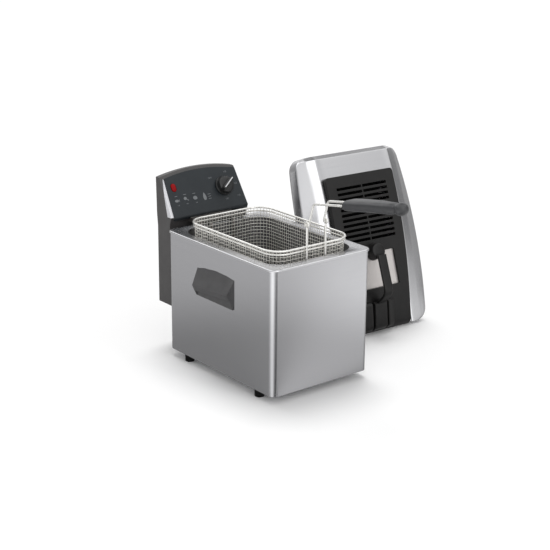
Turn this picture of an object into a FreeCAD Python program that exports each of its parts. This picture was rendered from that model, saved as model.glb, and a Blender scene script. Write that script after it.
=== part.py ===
import FreeCAD, Part
import math
import os
from types import SimpleNamespace

import Sketcher

# Deep fryer with a steel body, lift-out tub, rear control unit, wire basket and a lid standing beside it.
# Millimetres. X is the width, -Y the front with the basket handle, +Z up.
# The origin is on the floor under the middle of the body.

Vector = FreeCAD.Vector

driving_sizes = {
    # body
    "housing_width": 210, "housing_length": 298.3, "housing_height": 218.6, "housing_corner": 12,
    "housing_wall": 1.0, "housing_lip": 24, "lip_thickness": 1.2,
    "base_thickness": 2.5, "base_clearance": 0.3,
    "vent_length": 60, "vent_width": 5, "vent_pitch": 14, "vent_count": 5,
    # feet
    "foot_height": 14, "foot_radius": 8.3, "foot_inset_x": 10.5, "foot_inset_y": 48,
    "foot_screw_radius": 2.0, "foot_screw_head": 4.0, "foot_screw_head_height": 3.0,
    "foot_screw_sink": 3.0, "foot_screw_tail": 2.5, "screw_clearance": 0.2,
    # side handles
    "handle_span": 95, "handle_drop": 42.6, "handle_height": 55.5, "handle_roof_fall": 20,
    "handle_reach": 18, "handle_lip_height": 13, "handle_lip_wall": 3.5, "handle_plate": 4,
    "handle_roof": 5, "handle_cheek": 4, "handle_lip_round": 8,
    "handle_screw_radius": 1.6, "handle_screw_spread": 30, "handle_screw_lift": 11.5,
    "handle_screw_bite": 3.0, "handle_screw_head": 3.2, "handle_screw_head_height": 2.0,
    "thread_clearance": 0.02,
    # rail behind the body
    "rail_width": 80, "rail_depth": 8, "rail_wall": 1.5, "rail_flange": 9,
    "rail_drop": 32.6, "rail_height": 90, "rail_clearance": 1.0,
    # tub
    "flange_overhang": 2, "flange_thickness": 1.2, "flange_drop": 2.3, "flange_fit": 0.4,
    "flange_corner": 14, "side_land": 15, "end_land": 15.15, "tub_corner": 38,
    "tub_wall": 1.2, "tub_depth": 188, "tub_floor_round": 12, "tub_dish_depth": 16,
    # control unit case
    "column_gap": 2.5, "column_depth": 57.5, "column_height": 142.6, "case_inset": 19.4, "case_wall": 2.5,
    "ledge_drop": 8, "nose_setback": 17, "nose_rise": 13.2, "nose_depth": 11, "nose_round": 4, "nose_slot_gap": 0.5,
    "under_setback": 22, "panel_run": 37.4, "panel_rise": 62.7, "head_lean": 12,
    "case_top_spare": 26, "head_taper": 5, "arch_rise": 9.6, "arch_lift": 1.6,
    "panel_thickness": 2.5, "panel_inset": 5.6, "panel_narrowing": 4, "panel_arch": 8.5,
    "window_margin": 9,
    "cover_fit": 0.3, "cover_screw_radius": 1.5, "cover_screw_head": 3.0, "cover_screw_head_height": 1.6,
    "cover_screw_inset": 7, "cover_screw_length": 7, "cover_rim": 2.5,
    "trim_thickness": 0.8, "trim_foot": 11, "trim_gap": 0.05,
    # lamp, knob and thermostat, placed on the control panel
    "lamp_inset": 19, "lamp_y": 54, "lamp_half_width": 5.6, "lamp_half_height": 7.6, "lamp_round": 5.5,
    "lamp_proud": 1.5, "lamp_clearance": 0.1,
    "knob_inset": 35, "knob_y": 41, "knob_skirt_radius": 18, "knob_skirt": 3, "knob_radius": 16.5,
    "knob_height": 18, "knob_gap": 0.6, "knob_edge": 1.5, "knob_bore_depth": 11,
    "pointer_width": 1.8, "pointer_length": 27, "pointer_height": 0.6, "pointer_angle": 36,
    "shaft_radius": 3, "shaft_clearance": 0.05, "shaft_engagement": 8,
    "thermostat_radius": 15, "thermostat_depth": 13,
    # parts inside the control unit
    "cutout_radius": 9, "cutout_depth": 14, "cutout_drop": 19.6, "cutout_x": 48,
    "reset_radius": 3.5, "reset_proud": 3, "reset_length": 5, "reset_travel_room": 3, "reset_clearance": 0.2,
    "terminal_width": 46, "terminal_depth": 16, "terminal_height": 18, "terminal_lift": 10,
    "switch_width": 20, "switch_depth": 10, "switch_height": 16, "switch_x": -50, "switch_drop": 28.6,
    "gland_radius": 9, "gland_bore": 4, "gland_length": 16, "gland_x": -48, "gland_setback": 23.15,
    "gland_collar": 3, "gland_collar_extra": 3,
    # heating element
    "shroud_width": 90, "shroud_gap": 0.3, "shroud_height": 8.5, "shroud_wall": 1.2, "shroud_reach": 7.7,
    "element_radius": 3, "element_lead_x": 25, "lead_wall_gap": 4.5, "lead_lift": 4.6,
    "element_lift": 74.2, "element_side_gap": 35, "element_inner_x": 18, "element_front_gap": 39,
    "element_back_gap": 42, "element_bend": 10, "lead_bend": 6.5, "element_tail": 1.35,
    "clamp_overlap": 7, "clamp_width": 10, "clamp_thickness": 3.8, "clamp_spread": 60,
    "bulb_radius": 3, "bulb_length": 80, "bulb_x": 36, "bulb_hang": 0.3,
    # basket
    "basket_side_gap": 6, "basket_front_gap": 8, "basket_rear_gap": 12, "basket_corner_step": 8,
    "rim_lift": 19.2, "rim_radius": 1.75, "rim_lower_radius": 1.4, "rim_spacing": 6,
    "net_thickness": 1.5, "net_bar": 2.0, "net_pitch": 12, "rim_weld": 0.02,
    "upright_x": 20, "upright_radius": 1.9, "eyelet_lift": 39, "upright_drop": 24,
    "eyelet_wire": 1.75, "pin_clearance": 0.05,
    # folding basket handle
    "handle_wire_radius": 2, "wire_x": 15.4, "pin_end_x": 24.5, "pin_bend": 2.6, "rise_forward": 10,
    "rise_height": 36, "wire_bend": 9, "run_forward": 72.5, "run_rise": 12.5, "wire_in_grip": 18,
    "grip_width": 40, "grip_height": 18, "grip_round": 7, "grip_length": 128,
    "grip_waist_share": 0.55, "grip_waist_width": 36,
    "grip_end_share": 0.94, "grip_end_width": 26, "grip_end_height": 15.5, "grip_end_round": 6,
    "grip_tip_width": 18, "grip_tip_height": 9, "grip_tip_round": 4,
    # lid, standing on its front edge
    "lid_gap": 18.7, "lid_y": 15.6, "lid_turn": -2.55, "lid_lean": 20.78, "lid_overlap": 43.7,
    "lid_front_overlap": 15.2, "lid_bow": 11.65, "lid_rear_narrowing": 1.9, "lid_crease_inset": 31.9,
    "lid_rise_front": 5.9, "lid_rise_middle": 38.8, "lid_rise_rear": 38.0,
    "lid_skirt_front": 14, "lid_skirt_middle": 22.5, "lid_skirt_rear": 21.5,
    "lid_corner": 22, "lid_bevel": 8, "lid_wall": 1.2,
    "cover_inset": 7.3, "cover_start": -1.9, "cover_end": 297, "cover_lift": 0.2,
    "cover_thickness": 7.8, "cover_notch_length": 62, "cover_notch_floor": 4, "cover_notch_fit": 0.5,
    "skin_window_inset": 11, "skin_window_end": 288,
    "slot_inset": 22, "slot_width": 5, "slot_pitch": 10, "slot_count": 11, "slot_start": 170, "slot_rib": 3,
    "view_inset": 27.4, "view_start": 79, "view_end": 146, "pane_thickness": 2, "pane_fit": 0.5,
    "pane_room": 2,
    "liner_height": 5.5, "liner_thickness": 2.5, "liner_fit": 0.3,
    "seal_width": 8, "seal_height": 5, "seal_corner": 16,
    "tray_inset": 19, "tray_start": 166, "tray_end": 283, "tray_height": 18, "tray_wall": 1.2,
    "tray_ledge": 7, "filter_thickness": 10, "filter_fit": 0.3,
    "bar_half_width": 10.5, "bar_level": 70, "bar_thickness": 6, "bar_start": 52, "bar_end": 160,
    "bar_slope": 16, "bar_front_slope": 26, "foot_half_width": 19, "foot_rise": 12.5, "bar_foot_start": 2,
    "tab_groove": 4, "tab_thickness": 9, "tab_fit": 0.2,
}

doc = FreeCAD.newDocument("DeepFryer")
sheet = doc.addObject("Spreadsheet::Sheet", "Sizes")
for row, (name, number) in enumerate(driving_sizes.items(), start=1):
    sheet.set(f"A{row}", name)
    sheet.set(f"B{row}", str(number))
    sheet.setAlias(f"B{row}", name)
doc.recompute()

nodes = []


class Size:
    """A number together with the sheet formula that drives it."""

    def __init__(self, value, formula):
        self.value = value
        self.formula = formula

    def __add__(self, other):
        other = as_size(other)
        return Size(self.value + other.value, f"({self.formula} + {other.formula})")

    def __sub__(self, other):
        other = as_size(other)
        return Size(self.value - other.value, f"({self.formula} - {other.formula})")

    def __mul__(self, other):
        other = as_size(other)
        return Size(self.value * other.value, f"({self.formula} * {other.formula})")

    def __truediv__(self, other):
        other = as_size(other)
        return Size(self.value / other.value, f"({self.formula} / {other.formula})")

    def __neg__(self):
        return Size(-self.value, f"(-{self.formula})")


def as_size(number):
    if isinstance(number, Size):
        return number
    return Size(float(number), f"({number})")


dim = SimpleNamespace(**{name: Size(float(sheet.get(name)), f"Sizes.{name}") for name in driving_sizes})

# places that several pieces share
shell_half_x = dim.housing_width / 2
shell_half_y = dim.housing_length / 2
housing_top = dim.foot_height + dim.housing_height
flange_top = housing_top + dim.flange_thickness
foot_x = shell_half_x - dim.foot_inset_x
foot_y = shell_half_y - dim.foot_inset_y
foot_places = [(foot_x * side, foot_y * end) for side in (-1, 1) for end in (-1, 1)]
screw_hole = dim.foot_screw_radius + dim.screw_clearance

tub_half_x = shell_half_x - dim.side_land
tub_half_y = shell_half_y - dim.end_land
tub_inner_floor = flange_top - dim.tub_depth
tub_dish_top = tub_inner_floor + dim.tub_dish_depth

handle_top = housing_top - dim.handle_drop
handle_bottom = handle_top - dim.handle_height
handle_lip_top = handle_top - dim.handle_roof_fall
handle_screw_height = handle_bottom + dim.handle_screw_lift
rail_bottom = housing_top - dim.rail_drop - dim.rail_height

ledge = housing_top - dim.ledge_drop
under_y = shell_half_y + dim.under_setback
column_front = shell_half_y + dim.column_gap
column_back = column_front + dim.column_depth
column_bottom = ledge - dim.column_height
column_room_front = column_front + dim.rail_depth + dim.rail_clearance + dim.case_wall
case_half = shell_half_x - dim.case_inset
case_width = case_half * 2
gland_y = column_back - dim.gland_setback
cutout_height = ledge - dim.cutout_drop
nose_y = shell_half_y + dim.nose_setback
nose_z = flange_top + dim.nose_rise
panel_half_bottom = case_half - dim.panel_inset
panel_half_top = panel_half_bottom - dim.panel_narrowing
knob_x = panel_half_bottom - dim.knob_inset
lamp_x = dim.lamp_inset - panel_half_bottom
panel_tilt_formula = f"atan({dim.panel_rise.formula} / {dim.panel_run.formula})"
panel_tilt = math.degrees(math.atan2(dim.panel_rise.value, dim.panel_run.value))
panel_slope = math.hypot(dim.panel_rise.value, dim.panel_run.value)
panel_span = Size(panel_slope, f"sqrt({dim.panel_rise.formula} ^ 2 + {dim.panel_run.formula} ^ 2)")
panel_sink = dim.panel_thickness * panel_span / dim.panel_rise

element_level = tub_inner_floor + dim.element_lift
element_outer_x = tub_half_x - dim.element_side_gap
element_front = dim.element_front_gap - tub_half_y
element_back = tub_half_y - dim.element_back_gap
element_lead_y = tub_half_y - dim.lead_wall_gap
element_lead_height = flange_top + dim.lead_lift
clamp_half_length = element_outer_x + dim.clamp_overlap

basket_half_width = tub_half_x - dim.basket_side_gap
basket_front = dim.basket_front_gap - tub_half_y
basket_rear = tub_half_y - dim.basket_rear_gap
basket_corner = dim.tub_corner - dim.basket_corner_step
basket_middle = (basket_front + basket_rear) / 2
basket_half_length = (basket_rear - basket_front) / 2
basket_floor = element_level + dim.element_radius + dim.clamp_thickness
basket_rim_height = flange_top + dim.rim_lift
hinge_y = basket_front - dim.rim_radius - dim.upright_radius - dim.rim_weld
hinge_z = basket_rim_height + dim.eyelet_lift

lid_length = dim.housing_length + dim.lid_overlap
lid_half_front = shell_half_x + dim.lid_front_overlap
lid_half_rear = lid_half_front - dim.lid_rear_narrowing
lid_half_middle = (lid_half_front + lid_half_rear) / 2 + dim.lid_bow
lid_crease = lid_half_front - dim.lid_crease_inset
lid_x = shell_half_x + dim.handle_reach + dim.lid_gap + lid_half_middle
lid_middle = lid_length / 2
cover_half_width = lid_crease - dim.cover_inset
skin_window_half = cover_half_width - dim.skin_window_inset
slot_half = cover_half_width - dim.slot_inset
view_half = cover_half_width - dim.view_inset
tray_half_width = cover_half_width - dim.tray_inset


def bind(item, prop, length):
    item.setExpression(prop, as_size(length).formula)


def new_body(label):
    body = doc.addObject("PartDesign::Body", label)
    body.Label = label
    nodes.append(body)
    return body


def new_feature(label, shape):
    feature = doc.addObject("Part::Feature", label)
    feature.Label = label
    feature.Shape = shape
    nodes.append(feature)
    return feature


def new_group(label, members):
    group = doc.addObject("Part::Compound", label)
    group.Label = label
    group.Links = members
    nodes.append(group)
    return group


def sketch_on(body, role, offset=0):
    sketch = body.newObject("Sketcher::SketchObject", f"{body.Name}_sketch")
    plane = next(item for item in body.Origin.OriginFeatures if item.Role == role)
    sketch.AttachmentSupport = [(plane, "")]
    sketch.MapMode = "FlatFace"
    bind(sketch, "AttachmentOffset.Base.z", offset)
    return sketch


def limit(sketch, constraint, length):
    index = sketch.addConstraint(constraint)
    bind(sketch, f"Constraints[{index}]", length)


def place(sketch, item, point, x, y):
    x = as_size(x)
    y = as_size(y)
    limit(sketch, Sketcher.Constraint("DistanceX", -1, 1, item, point, x.value), x)
    limit(sketch, Sketcher.Constraint("DistanceY", -1, 1, item, point, y.value), y)


def polygon(sketch, corners):
    first = sketch.GeometryCount
    count = len(corners)
    points = [Vector(as_size(x).value, as_size(y).value, 0) for x, y in corners]
    for index in range(count):
        sketch.addGeometry(Part.LineSegment(points[index], points[(index + 1) % count]))
    for index, (x, y) in enumerate(corners):
        following = first + (index + 1) % count
        sketch.addConstraint(Sketcher.Constraint("Coincident", first + index, 2, following, 1))
        place(sketch, first + index, 1, x, y)


def rectangle(sketch, low_x, low_y, high_x, high_y):
    polygon(sketch, [(low_x, low_y), (high_x, low_y), (high_x, high_y), (low_x, high_y)])


def circle(sketch, x, y, radius):
    x = as_size(x)
    y = as_size(y)
    radius = as_size(radius)
    item = sketch.addGeometry(Part.Circle(Vector(x.value, y.value, 0), Vector(0, 0, 1), radius.value))
    place(sketch, item, 3, x, y)
    limit(sketch, Sketcher.Constraint("Radius", item, radius.value), radius)


def rounded_rectangle(sketch, half_x, half_y, radius, middle_x=0, middle_y=0):
    middle_x = as_size(middle_x)
    middle_y = as_size(middle_y)
    reach_x = half_x - radius
    reach_y = half_y - radius
    first = sketch.GeometryCount
    quarters = [(1, 1), (-1, 1), (-1, -1), (1, -1)]
    for index, (side, end) in enumerate(quarters):
        middle = Vector((middle_x + reach_x * side).value, (middle_y + reach_y * end).value, 0)
        turn = index * math.pi / 2
        round_corner = Part.Circle(middle, Vector(0, 0, 1), radius.value)
        sketch.addGeometry(Part.ArcOfCircle(round_corner, turn, turn + math.pi / 2))
    for index in range(4):
        start = sketch.Geometry[first + index].EndPoint
        end = sketch.Geometry[first + (index + 1) % 4].StartPoint
        sketch.addGeometry(Part.LineSegment(start, end))
    for index, (side, end) in enumerate(quarters):
        arc = first + index
        line = first + 4 + index
        next_arc = first + (index + 1) % 4
        sketch.addConstraint(Sketcher.Constraint("Tangent", arc, 2, line, 1))
        sketch.addConstraint(Sketcher.Constraint("Tangent", line, 2, next_arc, 1))
        place(sketch, arc, 3, middle_x + reach_x * side, middle_y + reach_y * end)
        limit(sketch, Sketcher.Constraint("Radius", arc, radius.value), radius)


def arc_through(sketch, start, middle, end):
    points = [Vector(as_size(x).value, as_size(y).value, 0) for x, y in (start, middle, end)]
    turn = (points[1] - points[0]).cross(points[2] - points[1]).z
    if turn < 0:
        start, end = end, start
        points.reverse()
    arc = sketch.addGeometry(Part.Arc(*points))
    place(sketch, arc, 1, *start)
    place(sketch, arc, 2, *end)
    marker = sketch.addGeometry(Part.Point(points[1]), True)
    place(sketch, marker, 1, *middle)
    sketch.addConstraint(Sketcher.Constraint("PointOnObject", marker, 1, arc))


def line(sketch, start, end):
    points = [Vector(as_size(x).value, as_size(y).value, 0) for x, y in (start, end)]
    item = sketch.addGeometry(Part.LineSegment(*points))
    place(sketch, item, 1, *start)
    place(sketch, item, 2, *end)


def swept(body, kind, sketch, length, midplane, reverse):
    feature = body.newObject(f"PartDesign::{kind}", f"{body.Name}_{kind.lower()}")
    feature.Profile = sketch
    feature.Midplane = midplane
    feature.Reversed = reverse
    bind(feature, "Length", length)
    return feature


def pad(body, sketch, length, midplane=False, reverse=False):
    return swept(body, "Pad", sketch, length, midplane, reverse)


def pocket(body, sketch, length, midplane=False, reverse=False):
    return swept(body, "Pocket", sketch, length, midplane, reverse)


def round_edges(body, radius, chosen):
    doc.recompute()
    base = body.Tip
    names = [f"Edge{index}" for index, edge in enumerate(base.Shape.Edges, start=1) if chosen(edge)]
    feature = body.newObject("PartDesign::Fillet", f"{body.Name}_round")
    feature.Base = (base, names)
    bind(feature, "Radius", radius)
    return feature


def cylinder(label, radius, length, x, y, z, axis=Vector(0, 0, 1)):
    item = doc.addObject("Part::Cylinder", label)
    item.Placement.Rotation = FreeCAD.Rotation(Vector(0, 0, 1), axis)
    bind(item, "Radius", radius)
    bind(item, "Height", length)
    bind(item, "Placement.Base.x", x)
    bind(item, "Placement.Base.y", y)
    bind(item, "Placement.Base.z", z)
    return item


def screw(label, head_radius, head_height, radius, length, x, y, z, axis):
    """A pan head with its seat at x, y, z and its shank running along the axis."""
    head = cylinder(f"{label}_head", head_radius, head_height, x, y, z, -axis)
    shank = cylinder(f"{label}_shank", radius, length, x, y, z, axis)
    whole = doc.addObject("Part::Fuse", label)
    whole.Base = head
    whole.Tool = shank
    return whole


def put_on_panel(body):
    """Panel pieces are drawn flat and laid on the inclined face, from the middle of its lower edge."""
    body.Placement.Rotation = FreeCAD.Rotation(Vector(1, 0, 0), panel_tilt)
    body.setExpression("Placement.Rotation.Angle", panel_tilt_formula)
    bind(body, "Placement.Base.y", nose_y)
    bind(body, "Placement.Base.z", nose_z)


def put_on_lid(item):
    """Lid pieces are drawn upright: X across, Z from the front edge to the rear edge, -Y outwards."""
    turn = FreeCAD.Rotation(Vector(0, 0, 1), dim.lid_turn.value)
    lean = FreeCAD.Rotation(Vector(1, 0, 0), -dim.lid_lean.value)
    item.Placement = FreeCAD.Placement(Vector(lid_x.value, dim.lid_y.value, 0), turn * lean)
    bind(item, "Placement.Base.x", lid_x)
    bind(item, "Placement.Base.y", dim.lid_y)


def bent_path(points, bends):
    """Straight runs joined by tangent arcs."""
    edges = []
    start = points[0]
    for before, corner, after, bend in zip(points, points[1:], points[2:], bends):
        into = (corner - before) / (corner - before).Length
        onward = (after - corner) / (after - corner).Length
        half_turn = into.getAngle(onward) / 2
        reach = bend * math.tan(half_turn)
        inward = onward - into
        middle = corner + inward * ((bend / math.cos(half_turn) - bend) / inward.Length)
        arc_start = corner - into * reach
        arc_end = corner + onward * reach
        if (arc_start - start).Length > 1e-6:
            edges.append(Part.LineSegment(start, arc_start).toShape())
        edges.append(Part.Arc(arc_start, middle, arc_end).toShape())
        start = arc_end
    edges.append(Part.LineSegment(start, points[-1]).toShape())
    return Part.Wire(edges)


def tube(path, radius):
    first = path.OrderedEdges[0]
    along = first.tangentAt(first.FirstParameter)
    section = Part.Wire(Part.makeCircle(radius, first.valueAt(first.FirstParameter), along))
    return path.makePipeShell([section], True, False)


# body

def housing_shell():
    body = new_body("housing_shell")
    outline = sketch_on(body, "XY_Plane", dim.foot_height)
    rounded_rectangle(outline, shell_half_x, shell_half_y, dim.housing_corner)
    pad(body, outline, dim.housing_height)
    inside = sketch_on(body, "XY_Plane", dim.foot_height + dim.lip_thickness)
    rounded_rectangle(inside, shell_half_x - dim.housing_wall, shell_half_y - dim.housing_wall,
                      dim.housing_corner - dim.housing_wall)
    pocket(body, inside, dim.housing_height, reverse=True)
    mouth = sketch_on(body, "XY_Plane", dim.foot_height)
    rectangle(mouth, dim.housing_lip - shell_half_x, dim.housing_lip - shell_half_y,
              shell_half_x - dim.housing_lip, shell_half_y - dim.housing_lip)
    for x, y in foot_places:
        circle(mouth, x, y, screw_hole)
    pocket(body, mouth, dim.lip_thickness, reverse=True)
    handle_holes = sketch_on(body, "YZ_Plane")
    for end in (-1, 1):
        circle(handle_holes, dim.handle_screw_spread * end, handle_screw_height,
               dim.handle_screw_radius + dim.screw_clearance)
    pocket(body, handle_holes, dim.housing_width * 2, midplane=True)


def base_plate():
    body = new_body("base_plate")
    outline = sketch_on(body, "XY_Plane", dim.foot_height + dim.lip_thickness)
    inset = dim.housing_wall + dim.base_clearance
    rounded_rectangle(outline, shell_half_x - inset, shell_half_y - inset, dim.housing_corner - inset)
    pad(body, outline, dim.base_thickness)
    holes = sketch_on(body, "XY_Plane", dim.foot_height + dim.lip_thickness)
    for x, y in foot_places:
        circle(holes, x, y, screw_hole)
    for index in range(int(dim.vent_count.value)):
        middle = dim.vent_pitch * (index - (int(dim.vent_count.value) - 1) / 2)
        rectangle(holes, -dim.vent_length / 2, middle - dim.vent_width / 2,
                  dim.vent_length / 2, middle + dim.vent_width / 2)
    pocket(body, holes, dim.base_thickness, reverse=True)


def feet():
    body = new_body("feet")
    rounds = sketch_on(body, "XY_Plane")
    sinks = sketch_on(body, "XY_Plane")
    bores = sketch_on(body, "XY_Plane")
    for x, y in foot_places:
        circle(rounds, x, y, dim.foot_radius)
        circle(sinks, x, y, dim.foot_screw_head + dim.screw_clearance)
        circle(bores, x, y, screw_hole)
    pad(body, rounds, dim.foot_height)
    pocket(body, sinks, dim.foot_screw_sink + dim.foot_screw_head_height, reverse=True)
    pocket(body, bores, dim.foot_height, reverse=True)


def foot_screws():
    seat = dim.foot_screw_sink + dim.foot_screw_head_height
    length = dim.foot_height - seat + dim.lip_thickness + dim.base_thickness + dim.foot_screw_tail
    members = []
    for index, (x, y) in enumerate(foot_places):
        members.append(screw(f"foot_screw_{index}", dim.foot_screw_head, dim.foot_screw_head_height,
                             dim.foot_screw_radius, length, x, y, seat, Vector(0, 0, 1)))
    new_group("foot_screws", members)


def side_handle(label, side):
    """Cup handle: a sloping roof with a lip, closed by cheeks, open below for the fingers."""
    body = new_body(label)
    wall = shell_half_x * side
    slope = (handle_top - handle_lip_top) / dim.handle_reach
    lip_bottom = handle_lip_top - dim.handle_lip_height
    lip_inside = dim.handle_reach - dim.handle_lip_wall
    below = handle_bottom - dim.handle_lip_height
    beyond = dim.handle_reach * 2
    outline = sketch_on(body, "XZ_Plane")
    polygon(outline, [(wall, handle_top), (wall + dim.handle_reach * side, handle_lip_top),
                      (wall + dim.handle_reach * side, lip_bottom),
                      (wall + dim.handle_plate * side, handle_bottom), (wall, handle_bottom)])
    pad(body, outline, dim.handle_span, midplane=True)
    lip_face = (wall + dim.handle_reach * side).value
    half_span = dim.handle_span.value / 2
    round_edges(body, dim.handle_lip_round, lambda edge: abs(edge.CenterOfMass.x - lip_face) < 1e-6
                and abs(abs(edge.CenterOfMass.y) - half_span) < 1e-6)
    hollow = sketch_on(body, "XZ_Plane")
    polygon(hollow, [(wall + dim.handle_plate * side, below), (wall + beyond * side, below),
                     (wall + beyond * side, lip_bottom), (wall + lip_inside * side, lip_bottom),
                     (wall + lip_inside * side, handle_top - slope * lip_inside - dim.handle_roof),
                     (wall + dim.handle_plate * side,
                      handle_top - slope * dim.handle_plate - dim.handle_roof)])
    pocket(body, hollow, dim.handle_span - dim.handle_cheek * 2, midplane=True)
    holes = sketch_on(body, "YZ_Plane", wall)
    for end in (-1, 1):
        circle(holes, dim.handle_screw_spread * end, handle_screw_height,
               dim.handle_screw_radius + dim.thread_clearance)
    pocket(body, holes, dim.handle_screw_bite, reverse=side > 0)


def handle_screws():
    inner_face = shell_half_x - dim.housing_wall
    members = []
    for side in (-1, 1):
        for end in (-1, 1):
            members.append(screw(f"handle_screw_{side + 1}_{end + 1}", dim.handle_screw_head,
                                 dim.handle_screw_head_height, dim.handle_screw_radius,
                                 dim.housing_wall + dim.handle_screw_bite, inner_face * side,
                                 dim.handle_screw_spread * end, handle_screw_height,
                                 Vector(side, 0, 0)))
    new_group("handle_screws", members)


def rear_rail():
    body = new_body("rear_rail")
    section = sketch_on(body, "XY_Plane", rail_bottom)
    half = dim.rail_width / 2
    near = shell_half_y
    far = near + dim.rail_depth
    inner = half - dim.rail_wall
    outer = half + dim.rail_flange
    polygon(section, [(-outer, near), (-inner, near), (-inner, far - dim.rail_wall),
                      (inner, far - dim.rail_wall), (inner, near), (outer, near),
                      (outer, near + dim.rail_wall), (half, near + dim.rail_wall), (half, far),
                      (-half, far), (-half, near + dim.rail_wall), (-outer, near + dim.rail_wall)])
    pad(body, section, dim.rail_height)


# tub

def tub_flange():
    """Flat top edge of the tub with its rolled rim, resting on the body."""
    body = new_body("tub_flange")
    edge_x = shell_half_x + dim.flange_overhang
    edge_y = shell_half_y + dim.flange_overhang
    plate = sketch_on(body, "XY_Plane", housing_top)
    rounded_rectangle(plate, edge_x, edge_y, dim.flange_corner)
    rounded_rectangle(plate, tub_half_x, tub_half_y, dim.tub_corner)
    pad(body, plate, dim.flange_thickness)
    rolled_edge = sketch_on(body, "XY_Plane", housing_top)
    rounded_rectangle(rolled_edge, edge_x, edge_y, dim.flange_corner)
    rounded_rectangle(rolled_edge, shell_half_x + dim.flange_fit, shell_half_y + dim.flange_fit,
                      dim.housing_corner + dim.flange_fit)
    pad(body, rolled_edge, dim.flange_drop, reverse=True)


def tub_wall():
    """Upright band of the tub between the flange and the floor dish."""
    body = new_body("tub_wall")
    band = sketch_on(body, "XY_Plane", tub_dish_top)
    rounded_rectangle(band, tub_half_x + dim.tub_wall, tub_half_y + dim.tub_wall,
                      dim.tub_corner + dim.tub_wall)
    rounded_rectangle(band, tub_half_x, tub_half_y, dim.tub_corner)
    pad(body, band, housing_top - tub_dish_top)


def tub_floor():
    """Floor of the tub with its rounded foot, closing the wall from below."""
    body = new_body("tub_floor")
    dish = sketch_on(body, "XY_Plane", tub_dish_top)
    rounded_rectangle(dish, tub_half_x + dim.tub_wall, tub_half_y + dim.tub_wall,
                      dim.tub_corner + dim.tub_wall)
    pad(body, dish, tub_dish_top - tub_inner_floor + dim.tub_wall, reverse=True)
    inside = sketch_on(body, "XY_Plane", tub_dish_top)
    rounded_rectangle(inside, tub_half_x, tub_half_y, dim.tub_corner)
    pocket(body, inside, tub_dish_top - tub_inner_floor)
    inner_floor = tub_inner_floor.value
    outer_floor = inner_floor - dim.tub_wall.value
    round_edges(body, dim.tub_floor_round, lambda edge: abs(edge.CenterOfMass.z - inner_floor) < 1e-6)
    round_edges(body, dim.tub_floor_round + dim.tub_wall,
                lambda edge: abs(edge.CenterOfMass.z - outer_floor) < 1e-6)


# control unit

def panel_point(share, inward=0):
    """A point of the inclined face, by its share of the height and its depth behind the face."""
    return nose_y + dim.panel_run * share + inward, nose_z + dim.panel_rise * share


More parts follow.
